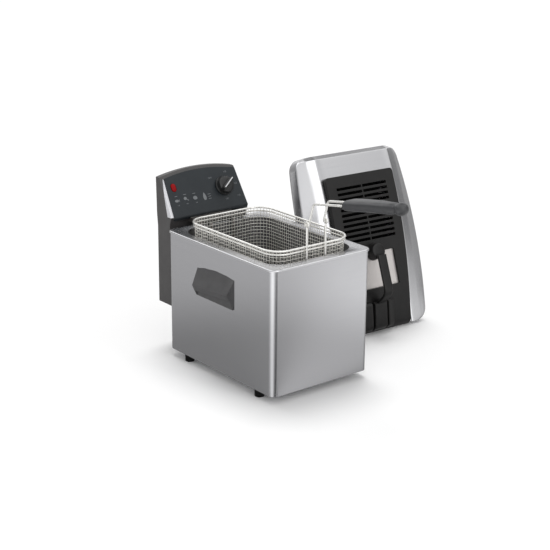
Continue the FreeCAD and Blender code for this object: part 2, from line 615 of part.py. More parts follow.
def control_case():
    body = new_body("control_case")
    case_top = nose_z + dim.panel_rise + dim.case_top_spare
    top_share = (case_top - nose_z) / dim.panel_rise
    top_y, top_z = panel_point(top_share, panel_sink)
    seat_y = nose_y + dim.panel_thickness * dim.panel_rise / panel_span
    seat_z = nose_z - dim.panel_thickness * dim.panel_run / panel_span
    side = sketch_on(body, "YZ_Plane")
    polygon(side, [(column_front, column_bottom), (column_back, column_bottom),
                   (column_back, ledge), (column_back + dim.head_lean, top_z),
                   (top_y, top_z), (seat_y, seat_z), (nose_y, nose_z),
                   (nose_y + dim.nose_round, nose_z - dim.nose_depth),
                   (under_y, nose_z - dim.nose_depth), (under_y, ledge), (column_front, ledge)])
    pad(body, side, case_width, midplane=True)

    # the head narrows towards an arched top
    taper = sketch_on(body, "XZ_Plane")
    for hand in (-1, 1):
        polygon(taper, [(case_half * hand, nose_z), ((case_half + dim.head_taper) * hand, nose_z),
                        ((case_half + dim.head_taper) * hand, case_top + dim.head_taper),
                        ((case_half - dim.head_taper) * hand, case_top + dim.head_taper)])
    pocket(body, taper, dim.housing_length * 2, midplane=True)
    crown = sketch_on(body, "XZ_Plane")
    arch_low = nose_z + dim.panel_rise + dim.arch_lift
    arch_left = (-case_half, arch_low)
    arch_right = (case_half, arch_low)
    above = case_top + dim.head_taper
    arc_through(crown, arch_left, (0, arch_low + dim.arch_rise), arch_right)
    line(crown, arch_right, (case_half, above))
    line(crown, (case_half, above), (-case_half, above))
    line(crown, (-case_half, above), arch_left)
    pocket(body, crown, dim.housing_length * 2, midplane=True)

    # room inside, open behind the column and under the panel
    wall = dim.case_wall
    open_back = column_back + dim.head_lean
    low_share = dim.window_margin / panel_span
    high_share = as_size(1) - low_share
    low_out_y, low_z = panel_point(low_share, -panel_sink)
    high_out_y, high_z = panel_point(high_share, -panel_sink)
    room = sketch_on(body, "YZ_Plane")
    polygon(room, [(column_room_front, column_bottom + wall), (open_back, column_bottom + wall),
                   (open_back, ledge - wall), (column_back - wall, ledge - wall),
                   (column_back + dim.head_lean / 2 - wall, high_z), (high_out_y, high_z),
                   (low_out_y, low_z), (under_y + wall, low_z), (under_y + wall, ledge - wall),
                   (column_room_front, ledge - wall)])
    pocket(body, room, case_width - (dim.head_taper + wall) * 2, midplane=True)

    # slot for the rail, open at the bottom so that the unit lifts off
    slot = sketch_on(body, "XY_Plane", column_bottom)
    slot_half = dim.rail_width / 2 + dim.rail_flange + dim.rail_clearance
    rectangle(slot, -slot_half, column_front - dim.rail_clearance, slot_half,
              shell_half_y + dim.rail_depth + dim.rail_clearance)
    pocket(body, slot, rail_bottom + dim.rail_height + dim.rail_clearance - column_bottom, reverse=True)

    # way under the nose for the element shroud
    passage = sketch_on(body, "XZ_Plane", -under_y)
    passage_half = dim.shroud_width / 2 + dim.nose_slot_gap
    rectangle(passage, -passage_half, ledge, passage_half,
              flange_top + dim.shroud_gap + dim.shroud_height + dim.nose_slot_gap)
    pocket(body, passage, under_y - nose_y + dim.nose_round, reverse=True)

    # ways through for the element leads and the cord gland
    leads = sketch_on(body, "XZ_Plane", -under_y)
    for hand in (-1, 1):
        circle(leads, dim.element_lead_x * hand, element_lead_height,
               dim.element_radius + dim.screw_clearance)
    pocket(body, leads, wall * 2, midplane=True)
    inlet = sketch_on(body, "XY_Plane", column_bottom)
    circle(inlet, dim.gland_x, gland_y, dim.gland_radius)
    pocket(body, inlet, wall, reverse=True)


def cover_outline():
    """Half width, bottom and top of the opening behind the column."""
    half = case_half - dim.head_taper - dim.case_wall
    return half, column_bottom + dim.case_wall, ledge - dim.case_wall


def cover_screw_places():
    half, bottom, top = cover_outline()
    inset = dim.cover_screw_inset
    return [((half - inset) * side, height) for side in (-1, 1) for height in (bottom + inset, top - inset)]


def rear_cover():
    body = new_body("rear_cover")
    half, bottom, top = cover_outline()
    fit = dim.cover_fit
    plate = sketch_on(body, "XZ_Plane", -column_back)
    rectangle(plate, fit - half, bottom + fit, half - fit, top - fit)
    pad(body, plate, dim.case_wall)
    holes = sketch_on(body, "XZ_Plane", -column_back)
    for x, z in cover_screw_places():
        circle(holes, x, z, dim.cover_screw_radius + dim.screw_clearance)
    circle(holes, dim.cutout_x, cutout_height, dim.reset_radius + dim.reset_clearance)
    pocket(body, holes, dim.case_wall, reverse=True)


def cover_bosses():
    """Posts on the case floor and walls that the rear cover is screwed to."""
    members = []
    length = dim.cover_screw_length
    half, bottom, top = cover_outline()
    for index, (x, z) in enumerate(cover_screw_places()):
        post = doc.addObject("Part::Box", f"cover_boss_{index}_block")
        side = -1 if x.value < 0 else 1
        low = index % 2 == 0
        outer = half * side
        width = dim.cover_screw_inset + dim.cover_screw_head
        bind(post, "Length", width)
        bind(post, "Width", length)
        bind(post, "Height", width)
        bind(post, "Placement.Base.x", outer if side < 0 else outer - width)
        bind(post, "Placement.Base.y", column_back - dim.case_wall - length)
        bind(post, "Placement.Base.z", bottom if low else top - width)
        bore = cylinder(f"cover_boss_{index}_bore", dim.cover_screw_radius + dim.thread_clearance, length,
                        x, column_back - dim.case_wall - length, z, Vector(0, 1, 0))
        boss = doc.addObject("Part::Cut", f"cover_boss_{index}")
        boss.Base = post
        boss.Tool = bore
        members.append(boss)
    new_group("cover_bosses", members)


def cover_screws():
    members = []
    length = dim.case_wall + dim.cover_screw_length - dim.cover_rim
    for index, (x, z) in enumerate(cover_screw_places()):
        members.append(screw(f"cover_screw_{index}", dim.cover_screw_head, dim.cover_screw_head_height,
                             dim.cover_screw_radius, length, x, column_back, z, Vector(0, -1, 0)))
    new_group("cover_screws", members)


def control_panel():
    body = new_body("control_panel")
    outline = sketch_on(body, "XY_Plane", -dim.panel_thickness)
    low_left = (-panel_half_bottom, 0)
    low_right = (panel_half_bottom, 0)
    high_left = (-panel_half_top, panel_span)
    high_right = (panel_half_top, panel_span)
    line(outline, low_left, low_right)
    line(outline, low_right, high_right)
    arc_through(outline, high_right, (0, panel_span + dim.panel_arch), high_left)
    line(outline, high_left, low_left)
    pad(body, outline, dim.panel_thickness)
    holes = sketch_on(body, "XY_Plane", -dim.panel_thickness)
    circle(holes, knob_x, dim.knob_y, dim.shaft_radius + dim.shaft_clearance)
    rounded_rectangle(holes, dim.lamp_half_width + dim.lamp_clearance,
                      dim.lamp_half_height + dim.lamp_clearance, dim.lamp_round + dim.lamp_clearance,
                      lamp_x, dim.lamp_y)
    pocket(body, holes, dim.panel_thickness, reverse=True)
    put_on_panel(body)


def indicator_lens():
    body = new_body("indicator_lens")
    outline = sketch_on(body, "XY_Plane", -dim.panel_thickness)
    rounded_rectangle(outline, dim.lamp_half_width, dim.lamp_half_height, dim.lamp_round,
                      lamp_x, dim.lamp_y)
    pad(body, outline, dim.panel_thickness + dim.lamp_proud)
    put_on_panel(body)


def side_trim(label, side):
    """Bright wedge on the side of the head, along the edge of the panel."""
    body = new_body(label)
    face = sketch_on(body, "YZ_Plane", (case_half + dim.trim_gap) * side)
    low_y, low_z = panel_point(0, panel_sink)
    high_y, high_z = panel_point(1, panel_sink)
    polygon(face, [(low_y, low_z), (low_y + dim.trim_foot, low_z), (high_y, high_z)])
    pad(body, face, dim.trim_thickness, reverse=side < 0)
    narrowing_height = dim.panel_rise + dim.case_top_spare + dim.head_taper
    tilt = math.degrees(math.atan2(dim.head_taper.value, narrowing_height.value))
    lean = FreeCAD.Rotation(Vector(0, 1, 0), -side * tilt)
    pivot = Vector(case_half.value * side, 0, nose_z.value)
    body.Placement = FreeCAD.Placement(Vector(), lean, pivot)


def knob():
    body = new_body("thermostat_knob")
    profile = sketch_on(body, "XZ_Plane")
    bore = dim.shaft_radius + dim.thread_clearance
    polygon(profile, [(bore, dim.knob_gap), (dim.knob_skirt_radius, dim.knob_gap),
                      (dim.knob_skirt_radius, dim.knob_gap + dim.knob_skirt),
                      (dim.knob_radius, dim.knob_gap + dim.knob_skirt),
                      (dim.knob_radius, dim.knob_height - dim.knob_edge),
                      (dim.knob_radius - dim.knob_edge, dim.knob_height), (0, dim.knob_height),
                      (0, dim.knob_bore_depth), (bore, dim.knob_bore_depth)])
    turned = body.newObject("PartDesign::Revolution", "thermostat_knob_turned")
    turned.Profile = profile
    turned.ReferenceAxis = (profile, ["V_Axis"])
    turned.Angle = 360
    put_at_knob(body)


def put_at_knob(body):
    """Knob pieces are drawn about their own axis and moved to the knob's place on the panel."""
    put_on_panel(body)
    share = dim.knob_y / panel_span
    bind(body, "Placement.Base.x", knob_x)
    bind(body, "Placement.Base.y", nose_y + dim.panel_run * share)
    bind(body, "Placement.Base.z", nose_z + dim.panel_rise * share)


def knob_pointer():
    bar = doc.addObject("Part::Box", "knob_pointer")
    bar.Label = "knob_pointer"
    nodes.append(bar)
    bind(bar, "Length", dim.pointer_length)
    bind(bar, "Width", dim.pointer_width)
    bind(bar, "Height", dim.pointer_height)
    share = dim.knob_y.value / panel_span.value
    on_panel = FreeCAD.Placement(Vector(knob_x.value, (nose_y + dim.panel_run * share).value,
                                        (nose_z + dim.panel_rise * share).value),
                                 FreeCAD.Rotation(Vector(1, 0, 0), panel_tilt))
    turned = FreeCAD.Placement(Vector(0, 0, dim.knob_height.value),
                               FreeCAD.Rotation(Vector(0, 0, 1), dim.pointer_angle.value))
    start = FreeCAD.Placement(Vector(dim.knob_radius.value - dim.knob_edge.value - dim.pointer_length.value,
                                     -dim.pointer_width.value / 2, 0), FreeCAD.Rotation())
    bar.Placement = on_panel * turned * start


def thermostat_shaft():
    body = new_body("thermostat_shaft")
    end = sketch_on(body, "XY_Plane", -dim.panel_thickness - dim.shaft_engagement)
    circle(end, 0, 0, dim.shaft_radius)
    pad(body, end, dim.panel_thickness + dim.shaft_engagement + dim.knob_bore_depth)
    put_at_knob(body)


def thermostat():
    body = new_body("thermostat")
    face = sketch_on(body, "XY_Plane", -dim.panel_thickness)
    circle(face, 0, 0, dim.thermostat_radius)
    pad(body, face, dim.thermostat_depth, reverse=True)
    bore = sketch_on(body, "XY_Plane", -dim.panel_thickness)
    circle(bore, 0, 0, dim.shaft_radius + dim.shaft_clearance)
    pocket(body, bore, dim.shaft_engagement + dim.shaft_clearance)
    put_at_knob(body)


def thermal_cutout():
    body = new_body("thermal_cutout")
    face = sketch_on(body, "XZ_Plane", dim.case_wall - column_back)
    circle(face, dim.cutout_x, cutout_height, dim.cutout_radius)
    pad(body, face, dim.cutout_depth)
    bore = sketch_on(body, "XZ_Plane", dim.case_wall - column_back)
    circle(bore, dim.cutout_x, cutout_height, dim.reset_radius + dim.reset_clearance)
    pocket(body, bore, dim.reset_length + dim.reset_travel_room, reverse=True)


def reset_button():
    body = new_body("reset_button")
    face = sketch_on(body, "XZ_Plane", -(column_back + dim.reset_proud))
    circle(face, dim.cutout_x, cutout_height, dim.reset_radius)
    pad(body, face, dim.reset_proud + dim.case_wall + dim.reset_length)


def safety_switch():
    body = new_body("safety_switch")
    foot = sketch_on(body, "XY_Plane", ledge - dim.switch_drop)
    rectangle(foot, dim.switch_x - dim.switch_width / 2, column_room_front,
              dim.switch_x + dim.switch_width / 2, column_room_front + dim.switch_depth)
    pad(body, foot, dim.switch_height)


def terminal_block():
    body = new_body("terminal_block")
    foot = sketch_on(body, "XY_Plane", column_bottom + dim.terminal_lift)
    rectangle(foot, -dim.terminal_width / 2, column_room_front, dim.terminal_width / 2,
              column_room_front + dim.terminal_depth)
    pad(body, foot, dim.terminal_height)


def cord_gland():
    body = new_body("cord_gland")
    inside = sketch_on(body, "XY_Plane", column_bottom + dim.case_wall)
    circle(inside, dim.gland_x, gland_y, dim.gland_radius + dim.gland_collar_extra)
    pad(body, inside, dim.gland_collar)
    stem = sketch_on(body, "XY_Plane", column_bottom + dim.case_wall)
    circle(stem, dim.gland_x, gland_y, dim.gland_radius - dim.thread_clearance)
    pad(body, stem, dim.gland_length, reverse=True)
    bore = sketch_on(body, "XY_Plane", column_bottom + dim.case_wall + dim.gland_collar)
    circle(bore, dim.gland_x, gland_y, dim.gland_bore)
    pocket(body, bore, dim.gland_length + dim.gland_collar)


def element_shroud():
    """Bent cover over the element leads, from the head across the tub flange."""
    body = new_body("element_shroud")
    low = flange_top + dim.shroud_gap
    high = low + dim.shroud_height
    half = dim.shroud_width / 2
    wall = dim.shroud_wall
    back = under_y
    section = sketch_on(body, "XZ_Plane", -back)
    polygon(section, [(-half, low), (wall - half, low), (wall - half, high - wall),
                      (half - wall, high - wall), (half - wall, low), (half, low), (half, high),
                      (-half, high)])
    pad(body, section, back - (tub_half_y - dim.shroud_reach))


def heating_element():
    lead_x = dim.element_lead_x.value
    lead_y = element_lead_y.value
    level = element_level.value
    outer = element_outer_x.value
    inner = dim.element_inner_x.value
    front = element_front.value
    back = element_back.value
    top = element_lead_height.value
    half = [Vector(-lead_x, (under_y + dim.element_tail).value, top), Vector(-lead_x, lead_y, top),
            Vector(-lead_x, lead_y, level), Vector(-outer, lead_y, level), Vector(-outer, front, level),
            Vector(-inner, front, level), Vector(-inner, back, level)]
    other_half = [Vector(-point.x, point.y, point.z) for point in reversed(half)]
    points = half + other_half
    lead_bend = dim.lead_bend.value
    bends = [lead_bend] + [dim.element_bend.value] * (len(points) - 4) + [lead_bend]
    path = bent_path(points, bends)
    new_feature("heating_element", tube(path, dim.element_radius.value))


def element_clamps():
    members = []
    for end in (-1, 1):
        bar = doc.addObject("Part::Box", f"element_clamp_{end + 1}")
        bind(bar, "Length", clamp_half_length * 2)
        bind(bar, "Width", dim.clamp_width)
        bind(bar, "Height", dim.clamp_thickness)
        bind(bar, "Placement.Base.x", -clamp_half_length)
        bind(bar, "Placement.Base.y", dim.clamp_spread * end - dim.clamp_width / 2)
        bind(bar, "Placement.Base.z", element_level + dim.element_radius)
        members.append(bar)
    new_group("element_clamps", members)


def thermostat_bulb():
    bulb = cylinder("thermostat_bulb", dim.bulb_radius, dim.bulb_length, dim.bulb_x, -dim.bulb_length / 2,
                    element_level + dim.element_radius - dim.bulb_radius - dim.bulb_hang, Vector(0, 1, 0))
    bulb.Label = "thermostat_bulb"
    bind(bulb, "Placement.Base.y", dim.clamp_spread - dim.bulb_length / 2)
    nodes.append(bulb)


# basket

def net(across, up, thickness, place_net):
    """A flat net of square gaps, as one holed face given its thickness."""
    bar = dim.net_bar.value
    columns = max(1, round(across / dim.net_pitch.value))
    rows = max(1, round(up / dim.net_pitch.value))
    step_x = (across - bar) / columns
    step_y = (up - bar) / rows
    border = Part.makePolygon([Vector(0, 0, 0), Vector(across, 0, 0), Vector(across, up, 0),
                               Vector(0, up, 0), Vector(0, 0, 0)])
    gaps = []
    for column in range(columns):
        for line_up in range(rows):
            x0 = bar + column * step_x
            y0 = bar + line_up * step_y
            x1 = x0 + step_x - bar
            y1 = y0 + step_y - bar
            gaps.append(Part.makePolygon([Vector(x0, y0, 0), Vector(x1, y0, 0), Vector(x1, y1, 0),
                                          Vector(x0, y1, 0), Vector(x0, y0, 0)]))
    face = Part.makeFace([border] + gaps, "Part::FaceMakerBullseye")
    sheet_of_net = face.extrude(Vector(0, 0, thickness))
    sheet_of_net.Placement = place_net
    return sheet_of_net


def ring_path(half_x, half_y, corner, middle_y, z):
    """Closed path round the basket, starting in the middle of the right side."""
    points = [Vector(half_x, middle_y, z), Vector(half_x, middle_y + half_y, z),
              Vector(-half_x, middle_y + half_y, z), Vector(-half_x, middle_y - half_y, z),
              Vector(half_x, middle_y - half_y, z), Vector(half_x, middle_y, z)]
    return bent_path(points, [corner] * 4)


def basket_walls():
    """Four flat nets and the bottom net, all inside the rim wires."""
    thick = dim.net_thickness.value
    weld = dim.rim_weld.value
    inner_x = basket_half_width.value - dim.rim_radius.value - weld
    inner_y = basket_half_length.value - dim.rim_radius.value - weld
    corner = basket_corner.value
    low = basket_floor.value
    high = basket_rim_height.value + dim.rim_radius.value
    middle = basket_middle.value
    long_run = 2 * (inner_y - corner)
    cross_run = 2 * (inner_x - corner)
    stand = FreeCAD.Rotation(Vector(1, 0, 0), 90)
    turn = FreeCAD.Rotation(Vector(0, 0, 1), 90)
    height = high - low - thick
    front_y = middle - inner_y + thick
    new_feature("basket_front_net", net(cross_run, height, thick, FreeCAD.Placement(
        Vector(-cross_run / 2, front_y, low + thick), stand)))
    new_feature("basket_rear_net", net(cross_run, height, thick, FreeCAD.Placement(
        Vector(-cross_run / 2, middle + inner_y, low + thick), stand)))
    new_feature("basket_left_net", net(long_run, height, thick, FreeCAD.Placement(
        Vector(-inner_x, middle - long_run / 2, low + thick), turn * stand)))
    new_feature("basket_right_net", net(long_run, height, thick, FreeCAD.Placement(
        Vector(inner_x - thick, middle - long_run / 2, low + thick), turn * stand)))
    corners = []
    for side in (-1, 1):
        for end in (-1, 1):
            axis_x = side * (inner_x - corner)
            axis_y = middle + end * (inner_y - corner)
            start = {(1, 1): 0, (-1, 1): 90, (-1, -1): 180, (1, -1): 270}[(side, end)]
            outside = Part.makeCylinder(corner, height, Vector(axis_x, axis_y, low + thick),
                                        Vector(0, 0, 1), 90)
            inside = Part.makeCylinder(corner - thick, height, Vector(axis_x, axis_y, low + thick),
                                       Vector(0, 0, 1), 90)
            bend = outside.cut(inside)
            bend.rotate(Vector(axis_x, axis_y, 0), Vector(0, 0, 1), start)
            corners.append(bend)
    new_feature("basket_corner_nets", Part.makeCompound(corners))
    floor_net = net(2 * inner_x, 2 * inner_y, thick, FreeCAD.Placement(
        Vector(-inner_x, middle - inner_y, low), FreeCAD.Rotation()))
    outline = ring_path(inner_x, inner_y, corner, middle, low)
    trimmed = floor_net.common(Part.Face(outline).extrude(Vector(0, 0, thick)))
    new_feature("basket_floor_net", trimmed)


def basket_rims():
    for label, radius, drop in (("basket_rim", dim.rim_radius.value, 0),
                                ("basket_lower_rim", dim.rim_lower_radius.value, dim.rim_spacing.value)):
        inset = dim.rim_radius.value - radius
        path = ring_path(basket_half_width.value - inset, basket_half_length.value - inset,
                         basket_corner.value + dim.rim_radius.value - inset, basket_middle.value,
                         basket_rim_height.value - drop)
        new_feature(label, tube(path, radius))


def basket_uprights():
    """Two wires welded to the front of the rim, each with an eyelet on top for the folding handle."""
    ring = dim.handle_wire_radius + dim.pin_clearance + dim.eyelet_wire
    stem_top = hinge_z - ring
    upright_foot = basket_rim_height - dim.upright_drop
    members = []
    for side in (-1, 1):
        eye = doc.addObject("Part::Torus", f"eyelet_{side + 1}")
        eye.Placement.Rotation = FreeCAD.Rotation(Vector(0, 1, 0), 90)
        bind(eye, "Radius1", ring)
        bind(eye, "Radius2", dim.eyelet_wire)
        bind(eye, "Placement.Base.x", dim.upright_x * side)
        bind(eye, "Placement.Base.y", hinge_y)
        bind(eye, "Placement.Base.z", hinge_z)
        stem = cylinder(f"upright_stem_{side + 1}", dim.upright_radius, stem_top - upright_foot,
                        dim.upright_x * side, hinge_y, upright_foot)
        whole = doc.addObject("Part::Fuse", f"upright_{side + 1}")
        whole.Base = eye
        whole.Tool = stem
        members.append(whole)
    new_group("basket_uprights", members)


def handle_wires():
    x = dim.wire_x.value
    y = hinge_y.value
    z = hinge_z.value
    bend_y = y - dim.rise_forward.value
    bend_z = z + dim.rise_height.value
    run = Vector(0, -dim.run_forward.value, dim.run_rise.value)
    into_grip = run * (1 + dim.wire_in_grip.value / run.Length)
    wires = []
    for side in (-1, 1):
        points = [Vector(side * dim.pin_end_x.value, y, z), Vector(side * x, y, z),
                  Vector(side * x, bend_y, bend_z), Vector(side * x, bend_y, bend_z) + into_grip]
        path = bent_path(points, [dim.pin_bend.value, dim.wire_bend.value])
        wires.append(tube(path, dim.handle_wire_radius.value))
    new_feature("handle_wires", Part.makeCompound(wires))


def handle_grip():
    body = new_body("handle_grip")
    stations = [(0, dim.grip_width, dim.grip_height, dim.grip_round),
                (dim.grip_waist_share, dim.grip_waist_width, dim.grip_height, dim.grip_round),
                (dim.grip_end_share, dim.grip_end_width, dim.grip_end_height, dim.grip_end_round),
                (1, dim.grip_tip_width, dim.grip_tip_height, dim.grip_tip_round)]
    sections = []
    for share, width, height, round_size in stations:
        section = sketch_on(body, "XY_Plane", dim.grip_length * share)
        rounded_rectangle(section, width / 2, height / 2, round_size)
        sections.append(section)
    loft = body.newObject("PartDesign::AdditiveLoft", "handle_grip_loft")
    loft.Profile = sections[0]
    loft.Sections = sections[1:]
    loft.Ruled = True
    holes = sketch_on(body, "XY_Plane")
    for side in (-1, 1):
        circle(holes, dim.wire_x * side, 0, dim.handle_wire_radius + dim.screw_clearance)
    pocket(body, holes, dim.wire_in_grip + dim.handle_wire_radius, reverse=True)
    run_y = hinge_y - dim.rise_forward - dim.run_forward
    run_z = hinge_z + dim.rise_height + dim.run_rise
    lean = math.degrees(math.atan2(dim.run_rise.value, dim.run_forward.value))
    body.Placement.Rotation = FreeCAD.Rotation(Vector(1, 0, 0), 90 - lean)
    bind(body, "Placement.Base.y", run_y)
    bind(body, "Placement.Base.z", run_z)


# lid

def through_three(front, middle, rear, share):
    """Smooth rise from the front value over the middle value to the rear value."""
    return (front * (1 - share) * (1 - 2 * share) + middle * 4 * share * (1 - share)
            + rear * share * (2 * share - 1))


def lid_rise(height):
    return through_three(dim.lid_rise_front.value, dim.lid_rise_middle.value, dim.lid_rise_rear.value,
                         height / lid_length.value)


def lid_form(inset, open_below):
    """The lid's outer form, or the same form set in on all sides, as a stack of cross sections."""
    length = lid_length.value
    corner = dim.lid_corner.value - inset
    bevel = dim.lid_bevel.value
    corner_steps = [0, 0.05, 0.17, 0.4, 0.7, 1]
    near_front = [inset + corner * step for step in corner_steps]
    near_rear = [length - height for height in reversed(near_front)]
    between = [length * share for share in (0.17, 0.3, 0.42, 0.54, 0.66, 0.78)]
    wires = []
    for height in near_front + between + near_rear:
        share = height / length
        half = through_three(lid_half_front.value, lid_half_middle.value,
                             lid_half_rear.value, share) - inset
        from_end = max(0, min(height, length - height) - inset)
        if from_end < corner:
            half -= corner - math.sqrt(corner ** 2 - (corner - from_end) ** 2)
        skirt = through_three(dim.lid_skirt_front.value, dim.lid_skirt_middle.value,
                              dim.lid_skirt_rear.value, share) - inset
        rise = lid_rise(height) - inset
        from_rear = length - height - inset
        if from_rear < bevel:
            rise = skirt + (rise - skirt) * from_rear / bevel
        crease = lid_crease.value
        points = [Vector(-half, open_below, height), Vector(-half, -skirt, height),
                  Vector(-crease, -rise, height), Vector(crease, -rise, height),
                  Vector(half, -skirt, height), Vector(half, open_below, height)]
        wires.append(Part.makePolygon(points + points[:1]))
    return Part.makeLoft(wires, True, True)


def box_between(low, high):
    return Part.makeBox(high.x - low.x, high.y - low.y, high.z - low.z, low)


def lid_shell():
    wall = dim.lid_wall.value
    far = lid_length.value
    notch = cover_half_width.value + dim.cover_notch_fit.value
    window = skin_window_half.value
    skin = lid_form(0, 0).cut(lid_form(wall, far))
    skin = skin.cut(box_between(Vector(-notch, -far, -1), Vector(notch, -dim.cover_notch_floor.value,
                                                                 dim.cover_notch_length.value)))
    skin = skin.cut(box_between(Vector(-window, -far, dim.cover_notch_length.value - 1),
                                Vector(window, -dim.cover_notch_floor.value, dim.skin_window_end.value)))
    put_on_lid(new_feature("lid_shell", skin))


def lid_liner():
    far = lid_length.value
    low = dim.liner_height.value
    inner = lid_form(dim.lid_wall.value + dim.liner_fit.value, far)
    sheet_of_liner = inner.common(box_between(Vector(-far, -low - dim.liner_thickness.value, -1),
                                              Vector(far, -low, far)))
    opening = tray_half_width.value - dim.tray_ledge.value
    steam_way = box_between(Vector(-opening, -far, dim.tray_start.value + dim.tray_ledge.value),
                            Vector(opening, far, dim.tray_end.value - dim.tray_ledge.value))
    front_relief = box_between(Vector(-cover_half_width.value - dim.cover_notch_fit.value, -far, -1),
                               Vector(cover_half_width.value + dim.cover_notch_fit.value, far,
                                      dim.bar_foot_start.value + dim.foot_half_width.value))
    put_on_lid(new_feature("lid_liner", sheet_of_liner.cut(steam_way).cut(front_relief)))


def lid_seal():
    body = new_body("lid_seal")
    half_x = shell_half_x
    half_y = shell_half_y
    ring = sketch_on(body, "XZ_Plane", dim.liner_height)
    rounded_rectangle(ring, half_x, half_y, dim.seal_corner, 0, lid_middle)
    rounded_rectangle(ring, half_x - dim.seal_width, half_y - dim.seal_width,
                      dim.seal_corner - dim.seal_width, 0, lid_middle)
    pad(body, ring, dim.seal_height, reverse=True)
    put_on_lid(body)


def filter_tray():
    """A shallow pan on the liner, open outwards, with a window in its floor for the steam."""
    body = new_body("filter_tray")
    floor_level = dim.liner_height + dim.liner_thickness
    wall = dim.tray_wall
    ledge = dim.tray_ledge
    outline = sketch_on(body, "XZ_Plane", floor_level)
    rectangle(outline, -tray_half_width, dim.tray_start, tray_half_width, dim.tray_end)
    pad(body, outline, dim.tray_height)
    inside = sketch_on(body, "XZ_Plane", floor_level + wall)
    rectangle(inside, wall - tray_half_width, dim.tray_start + wall, tray_half_width - wall,
              dim.tray_end - wall)
    pocket(body, inside, dim.tray_height, reverse=True)
    steam_way = sketch_on(body, "XZ_Plane", floor_level)
    rectangle(steam_way, ledge - tray_half_width, dim.tray_start + ledge, tray_half_width - ledge,
              dim.tray_end - ledge)
    pocket(body, steam_way, wall, reverse=True)
    put_on_lid(body)


def grease_filter():
    body = new_body("grease_filter")
    fit = dim.tray_wall + dim.filter_fit
    face = sketch_on(body, "XZ_Plane", dim.liner_height + dim.liner_thickness + dim.tray_wall)
    rectangle(face, fit - tray_half_width, dim.tray_start + fit, tray_half_width - fit,
              dim.tray_end - fit)
    pad(body, face, dim.filter_thickness)
    put_on_lid(body)


def cover_arc(sketch, start, end, outward):
    """The curved line of the cover strip in side view, at a distance outside the steel skin."""
    middle = (start + end) / 2
    points = []
    for height in (start, middle, end):
        share = height / lid_length
        rise = (dim.lid_rise_front * (as_size(1) - share) * (as_size(1) - share * 2)
                + dim.lid_rise_middle * 4 * share * (as_size(1) - share)
                + dim.lid_rise_rear * share * (share * 2 - 1))
        points.append((-(rise + outward), height))
    arc_through(sketch, *points)
    return points[0], points[2]


def filter_cover():
    body = new_body("filter_cover")
    side = sketch_on(body, "YZ_Plane")
    inner_low, inner_high = cover_arc(side, dim.cover_start, dim.cover_end, dim.cover_lift)
    outer_low, outer_high = cover_arc(side, dim.cover_start, dim.cover_end,
                                      dim.cover_lift + dim.cover_thickness)
    line(side, inner_low, outer_low)
    line(side, inner_high, outer_high)
    pad(body, side, cover_half_width * 2, midplane=True)
    window = sketch_on(body, "XZ_Plane")
    rectangle(window, -view_half, dim.view_start, view_half, dim.view_end)
    pocket(body, window, lid_length, midplane=True)
    slot = sketch_on(body, "XZ_Plane")
    for half in (-1, 1):
        rectangle(slot, dim.slot_rib / 2 * half, dim.slot_start, slot_half * half,
                  dim.slot_start + dim.slot_width)
    cut = pocket(body, slot, lid_length, midplane=True)
    doc.recompute()
    row = body.newObject("PartDesign::LinearPattern", "filter_cover_slots")
    row.Originals = [cut]
    row.Direction = (slot, ["V_Axis"])
    bind(row, "Length", dim.slot_pitch * (dim.slot_count - 1))
    bind(row, "Occurrences", dim.slot_count)
    body.Tip = row
    put_on_lid(body)


def strip_height(height):
    """Distance of the cover strip's outer face from the rim plane, at a height along the lid."""
    share = height / lid_length
    rise = (dim.lid_rise_front * (as_size(1) - share) * (as_size(1) - share * 2)
            + dim.lid_rise_middle * 4 * share * (as_size(1) - share)
            + dim.lid_rise_rear * share * (share * 2 - 1))
    return rise + dim.cover_lift + dim.cover_thickness


def view_pane():
    """Flat pane behind the window of the cover strip, under the bridge handle."""
    body = new_body("view_pane")
    side = sketch_on(body, "YZ_Plane")
    start = dim.view_start - dim.pane_room
    end = dim.view_end + dim.pane_room
    outer = dim.cover_thickness + dim.pane_fit
    inner = outer + dim.pane_thickness
    polygon(side, [(outer - strip_height(start), start), (outer - strip_height(end), end),
                   (inner - strip_height(end), end), (inner - strip_height(start), start)])
    pad(body, side, (view_half + dim.pane_room) * 2, midplane=True)
    put_on_lid(body)


def lid_handle():
    """Bridge handle over the view window, seated on the cover strip at both ends."""
    body = new_body("lid_handle")
    side = sketch_on(body, "YZ_Plane")
    start = dim.bar_start
    end = dim.bar_end
    front_slope = dim.bar_front_slope
    slope = dim.bar_slope
    thickness = dim.bar_thickness
    seat = dim.tab_fit
    inner_level = dim.bar_level - thickness
    polygon(side, [(-(strip_height(start) + seat), start),
                   (-dim.bar_level, start + front_slope),
                   (-dim.bar_level, end - slope),
                   (-(strip_height(end) + seat), end),
                   (-(strip_height(end - thickness) + seat), end - thickness),
                   (-inner_level, end - slope - thickness),
                   (-inner_level, start + front_slope + thickness),
                   (-(strip_height(start + thickness) + seat), start + thickness)])
    pad(body, side, dim.bar_half_width * 2, midplane=True)
    put_on_lid(body)


def latch_tab():
    """Tongue at the front end of the cover strip, in front of the bridge handle."""
    body = new_body("latch_tab")
    side = sketch_on(body, "YZ_Plane")
    start = dim.bar_foot_start
    end = dim.bar_start - dim.tab_groove
    seat = dim.tab_fit
    corners = [(-(strip_height(start) + dim.tab_thickness), start),
               (-(strip_height(end) + dim.foot_rise), end)]
    for share in (1, 0.75, 0.5, 0.25, 0):
        height = start + (end - start) * share
        corners.append((-(strip_height(height) + seat), height))
    polygon(side, corners)
    pad(body, side, dim.foot_half_width * 2, midplane=True)
    put_on_lid(body)


